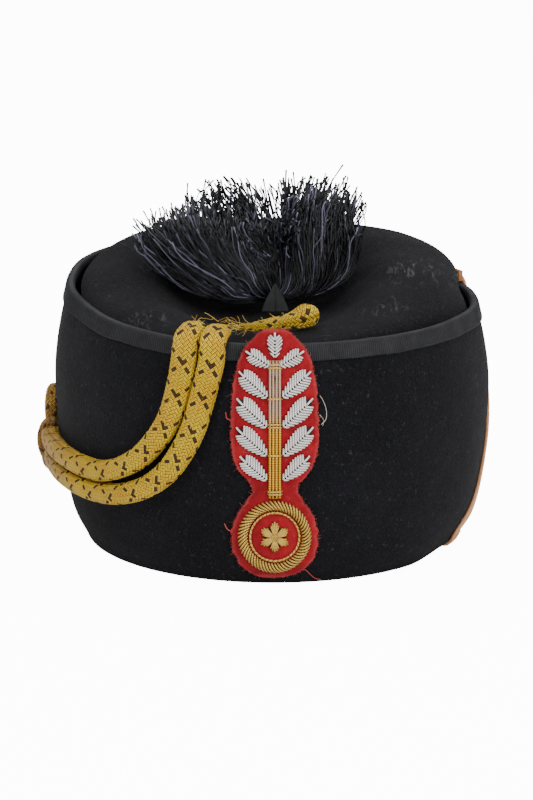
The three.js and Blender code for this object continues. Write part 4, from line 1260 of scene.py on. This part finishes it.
def leatherMaterial(name, light, dark, edge):
    made, tree, shader = newMaterial(name, Specular_IOR_Level=0.45)
    handled = useGroup(tree, worn)
    body = ramp(tree, grain(tree, 45, 6, 0.65), [(0.3, dark), (0.7, light)])
    rubbed = blend(tree, times(tree, handled["Dust"], 0.4), body, tone("cf9f70"))
    cracks = add(tree, "ShaderNodeTexVoronoi", objectPlace(tree), None, 900.0, feature="DISTANCE_TO_EDGE")
    creases = ramp(tree, cracks, [(0.0, 1.0), (0.06, 0.0)])
    cracked = blend(tree, times(tree, creases, 0.22), rubbed, tone("5c3519"))
    sides = calc(tree, "GREATER_THAN", ownUv(tree)[1], 0.44)
    trimmed = blend(tree, times(tree, sides, 0.7), cracked, edge)
    height = calc(tree, "SUBTRACT", grain(tree, 700, 4, 0.6), times(tree, creases, 0.6))
    dress(tree, shader, trimmed, height, 0.18, 0.6, ramp(tree, handled["Dull"], [(0.0, 0.42), (1.0, 0.62)]))
    return made


leather = leatherMaterial("leatherMaterial", tone("d89c58"), tone("b87a40"), tone("c89068"))
keeperLeather = leatherMaterial("keeperMaterial", tone("a06a3a"), tone("7d4d28"), tone("6f4a30"))
fitted(chinStrap(), leather, ["chin_strap"])

clearSelection()
keeperPiece = copyOfNode("strapKeeper", "strap_keeper")
weldActive(1e-5)
soften = keeperPiece.modifiers.new("soften", "BEVEL")
soften.width = 0.25 * mm
soften.segments = 3
bpy.ops.object.modifier_apply(modifier="soften")
bpy.ops.object.shade_smooth_by_angle(angle=math.radians(40))
fitted(keeperPiece, keeperLeather, ["strap_keeper"])

# Loose ends
print("loose threads")
fibreThread = thread("fibreThread", 3, 6)


def outlineSpot(share, side):
    # a place on the patch's edge and the way straight out of it, as across and height
    i = min(int(share * (len(patchHeights) - 1)), len(patchHeights) - 2)
    a = np.array([patchWidths[i] * side, patchHeights[i]])
    b = np.array([patchWidths[i + 1] * side, patchHeights[i + 1]])
    d = (b - a) / (np.linalg.norm(b - a) + 1e-9)
    return a, np.array([d[1], -d[0]]) * side


fringe, fringeShades = [], []
for _ in range(1300):
    side = rng.choice([-1, 1])
    at, way = outlineSpot(rng.random(), side)
    lean = rng.normal() * 0.7
    way = np.array([way[0] - lean * way[1], way[1] + lean * way[0]])
    way /= np.linalg.norm(way)
    long = 0.6 + rng.uniform(0.1, 0.7) + (rng.random() < 0.03) * rng.uniform(0.5, 2.0)
    share = np.linspace(0, 1, 7)
    sway = np.array([-way[1], way[0]]) * rng.normal() * 0.35
    spots = at - way * 0.6 + way * share[:, None] * long + sway * (share ** 2)[:, None]
    offs = rng.uniform(0.1, 1.15) + share * rng.normal() * 0.35
    fringe.append(bent(onPatch(spots[:, 0], spots[:, 1], np.maximum(offs, 0.05)), rng.uniform(0.035, 0.07)))
    fringeShades.append(rng.random())


def looseMaterial(name, dark, light):
    made, tree, shader = newMaterial(name, Roughness=0.7, Specular_IOR_Level=0.25)
    mixed = plus(tree, times(tree, pointValue(tree, "shade"), 0.7),
                 times(tree, grain(tree, 400, 2), 0.3))
    dress(tree, shader, ramp(tree, mixed, [(0.1, dark), (0.9, light)]), twist(tree, 90.0), 0.03, 0.5)
    return made


redThread = looseMaterial("redThreadMaterial", tone("7c1412"), tone("c4584e"))
fitted(copies("patchFringe", fibreThread, fringe, {"shade": fringeShades}), redThread)


def wandering(rows):
    # a loose thread on the cuff, through rows of across, height and distance off
    return smoothRows([wallPlace(patch["angle"] + a / 99, h, off)[0] for a, h, off in rows], 24)


redEnds = [
    wandering([(11.5, 9, 1.6), (13.5, 7.4, 1.0), (15, 6.6, 0.5), (17.5, 4.4, 0.5), (20, 2.6, 0.8),
               (23, 1.6, 1.6)]),
    wandering([(-19, 24, 1.2), (-21, 24.6, 1.0), (-22.4, 27, 0.8)]),
    wandering([(-18.4, 70, 1.2), (-20.4, 70.6, 0.9), (-21, 73, 0.7)]),
]
looseThread = thread("looseThread", 4, 16)
fitted(copies("redEnds", looseThread, [bent(p, 0.2) for p in redEnds], {"shade": [0.5, 0.8, 0.6]}), redThread)
paleEnds = [
    wandering([(19.5, 79.5, 1.0), (21.2, 77, 0.6), (22.3, 73.5, 0.5), (22, 70, 0.6), (19.8, 68, 0.9)]),
    wandering([(19.2, 72, 1.0), (21, 69.6, 0.5), (20.6, 67.4, 0.5)]),
]
fitted(copies("paleEnds", looseThread, [bent(p, 0.13) for p in paleEnds], {"shade": [0.6, 0.3]}),
       looseMaterial("paleThreadMaterial", tone("8c8474"), tone("cfc6b4")))

# gold threads frayed from the cords' tops and from the bare end
frays, frayShades = [], []


def frayed(at, way, long, curl):
    at, way = np.asarray(at, float), np.asarray(way, float)
    way = way / np.linalg.norm(way)
    share = np.linspace(0, 1, 25)[:, None]
    side = np.cross(way, [0.2, 0.3, 1.0])
    side /= np.linalg.norm(side)
    other = np.cross(way, side)
    spin = rng.uniform(0, 6.28) + share * rng.uniform(2, 6)
    path = at + way * share * long + (side * np.cos(spin) + other * np.sin(spin)) * curl * share ** 1.3
    frays.append(bent(path, rng.uniform(0.045, 0.08)))
    frayShades.append(rng.random())


for _, line, _ in cordPieces:
    for _ in range(7):
        i = int(rng.uniform(2, 26))
        frayed(line[i] + rng.normal(size=3) * [2.4, 1.2, 0.6] + [0, 0, 2.4],
               rng.normal(size=3) * [1, 0.5, 0.35] + [0.9, -0.1, 0.25], rng.uniform(2.5, 7.5),
               rng.uniform(0.3, 1.3))
    for _ in range(110):
        i = int(rng.uniform(20, len(line) - 40))
        out = unit(line[i] - np.array([0, shape["moveBack"], line[i][2]]))
        frayed(line[i] + rng.normal(size=3) * 1.4 + out * 2.6, rng.normal(size=3) + out * 0.9,
               rng.uniform(0.6, 1.8), rng.uniform(0.1, 0.4))
tipCore = smoothRows(tipLine, 60)[:, :3]
for _ in range(70):
    i = int(59 * rng.random() ** 2.2)
    frayed(tipCore[i] + rng.normal(size=3) * [0.8, 0.8, 0.6],
           rng.normal(size=3) * [0.6, 0.5, 0.45] + [-1.0, -0.15, 0.12], rng.uniform(2.5, 9.5) * (1 - i / 90),
           rng.uniform(0.3, 1.6))
fitted(copies("goldFrays", looseThread, frays, {"shade": frayShades}),
       looseMaterial("goldThreadMaterial", tone("b8841c"), tone("ffe070")))

for helper in (purl, longThread, rodThread, strandThread, fibreThread, looseThread):
    bpy.data.objects.remove(helper, do_unlink=True)

# Floor, light and camera
print("studio")
# places and sizes in metres, powers in watts, camera angles in degrees
studio = {
    "lights": (("keyLight", (-0.55, -1.25, 1.55), 0.8, 22), ("fillLight", (0.9, -1.3, 0.4), 1.1, 19),
               ("topLight", (0.1, 0.5, 1.7), 1.0, 20)),
    "skyLight": 0.62, "skyGlow": 18.0, "floorGlow": 12.0,
    "away": 1.5, "rise": 14.2, "dip": 12.099, "turn": 0.107, "lens": 157,
}
clearSelection()
bpy.ops.mesh.primitive_plane_add(size=8, location=(0, 2.5, -0.0004))
floor = bpy.context.object
floor.name = "paleFloor"
floorMaterial, floorTree, floorShader = newMaterial("floorMaterial", Roughness=0.75, Specular_IOR_Level=0.15)
floorShader.inputs["Base Color"].default_value = (0.93, 0.93, 0.93, 1)
floorShader.inputs["Emission Color"].default_value = (1, 1, 1, 1)
floorGlow = times(floorTree, add(floorTree, "ShaderNodeLightPath"), studio["floorGlow"])
floorTree.links.new(floorGlow, floorShader.inputs["Emission Strength"])
floor.data.materials.append(floorMaterial)

# the camera sees a bright white behind the hat, which is lit by much less
world = bpy.data.worlds.new("studioWorld")
world.use_nodes = True
sky = world.node_tree.nodes["Background"]
sky.inputs["Color"].default_value = (1, 1, 1, 1)
seen = calc(world.node_tree, "MULTIPLY", add(world.node_tree, "ShaderNodeLightPath"), studio["skyGlow"])
strength = calc(world.node_tree, "ADD", seen, studio["skyLight"])
world.node_tree.links.new(strength, sky.inputs["Strength"])
bpy.context.scene.world = world
for name, at, size, power in studio["lights"]:
    bpy.ops.object.light_add(type="AREA", location=at)
    lamp = bpy.context.object
    lamp.name = name
    lamp.data.size = size
    lamp.data.energy = power
    lamp.rotation_euler = (Vector((0, 0, 0.06)) - Vector(at)).to_track_quat("-Z", "Y").to_euler()

rise = math.radians(studio["rise"])
bpy.ops.object.camera_add(
    location=(0, shape["moveBack"] * mm - studio["away"] * math.cos(rise), studio["away"] * math.sin(rise)),
    rotation=(math.radians(90 - studio["dip"]), 0, math.radians(studio["turn"])))
camera = bpy.context.object
camera.name = "photoCamera"
camera.data.lens = studio["lens"]
camera.data.sensor_width = 36
camera.data.clip_end = 60
bpy.context.scene.camera = camera
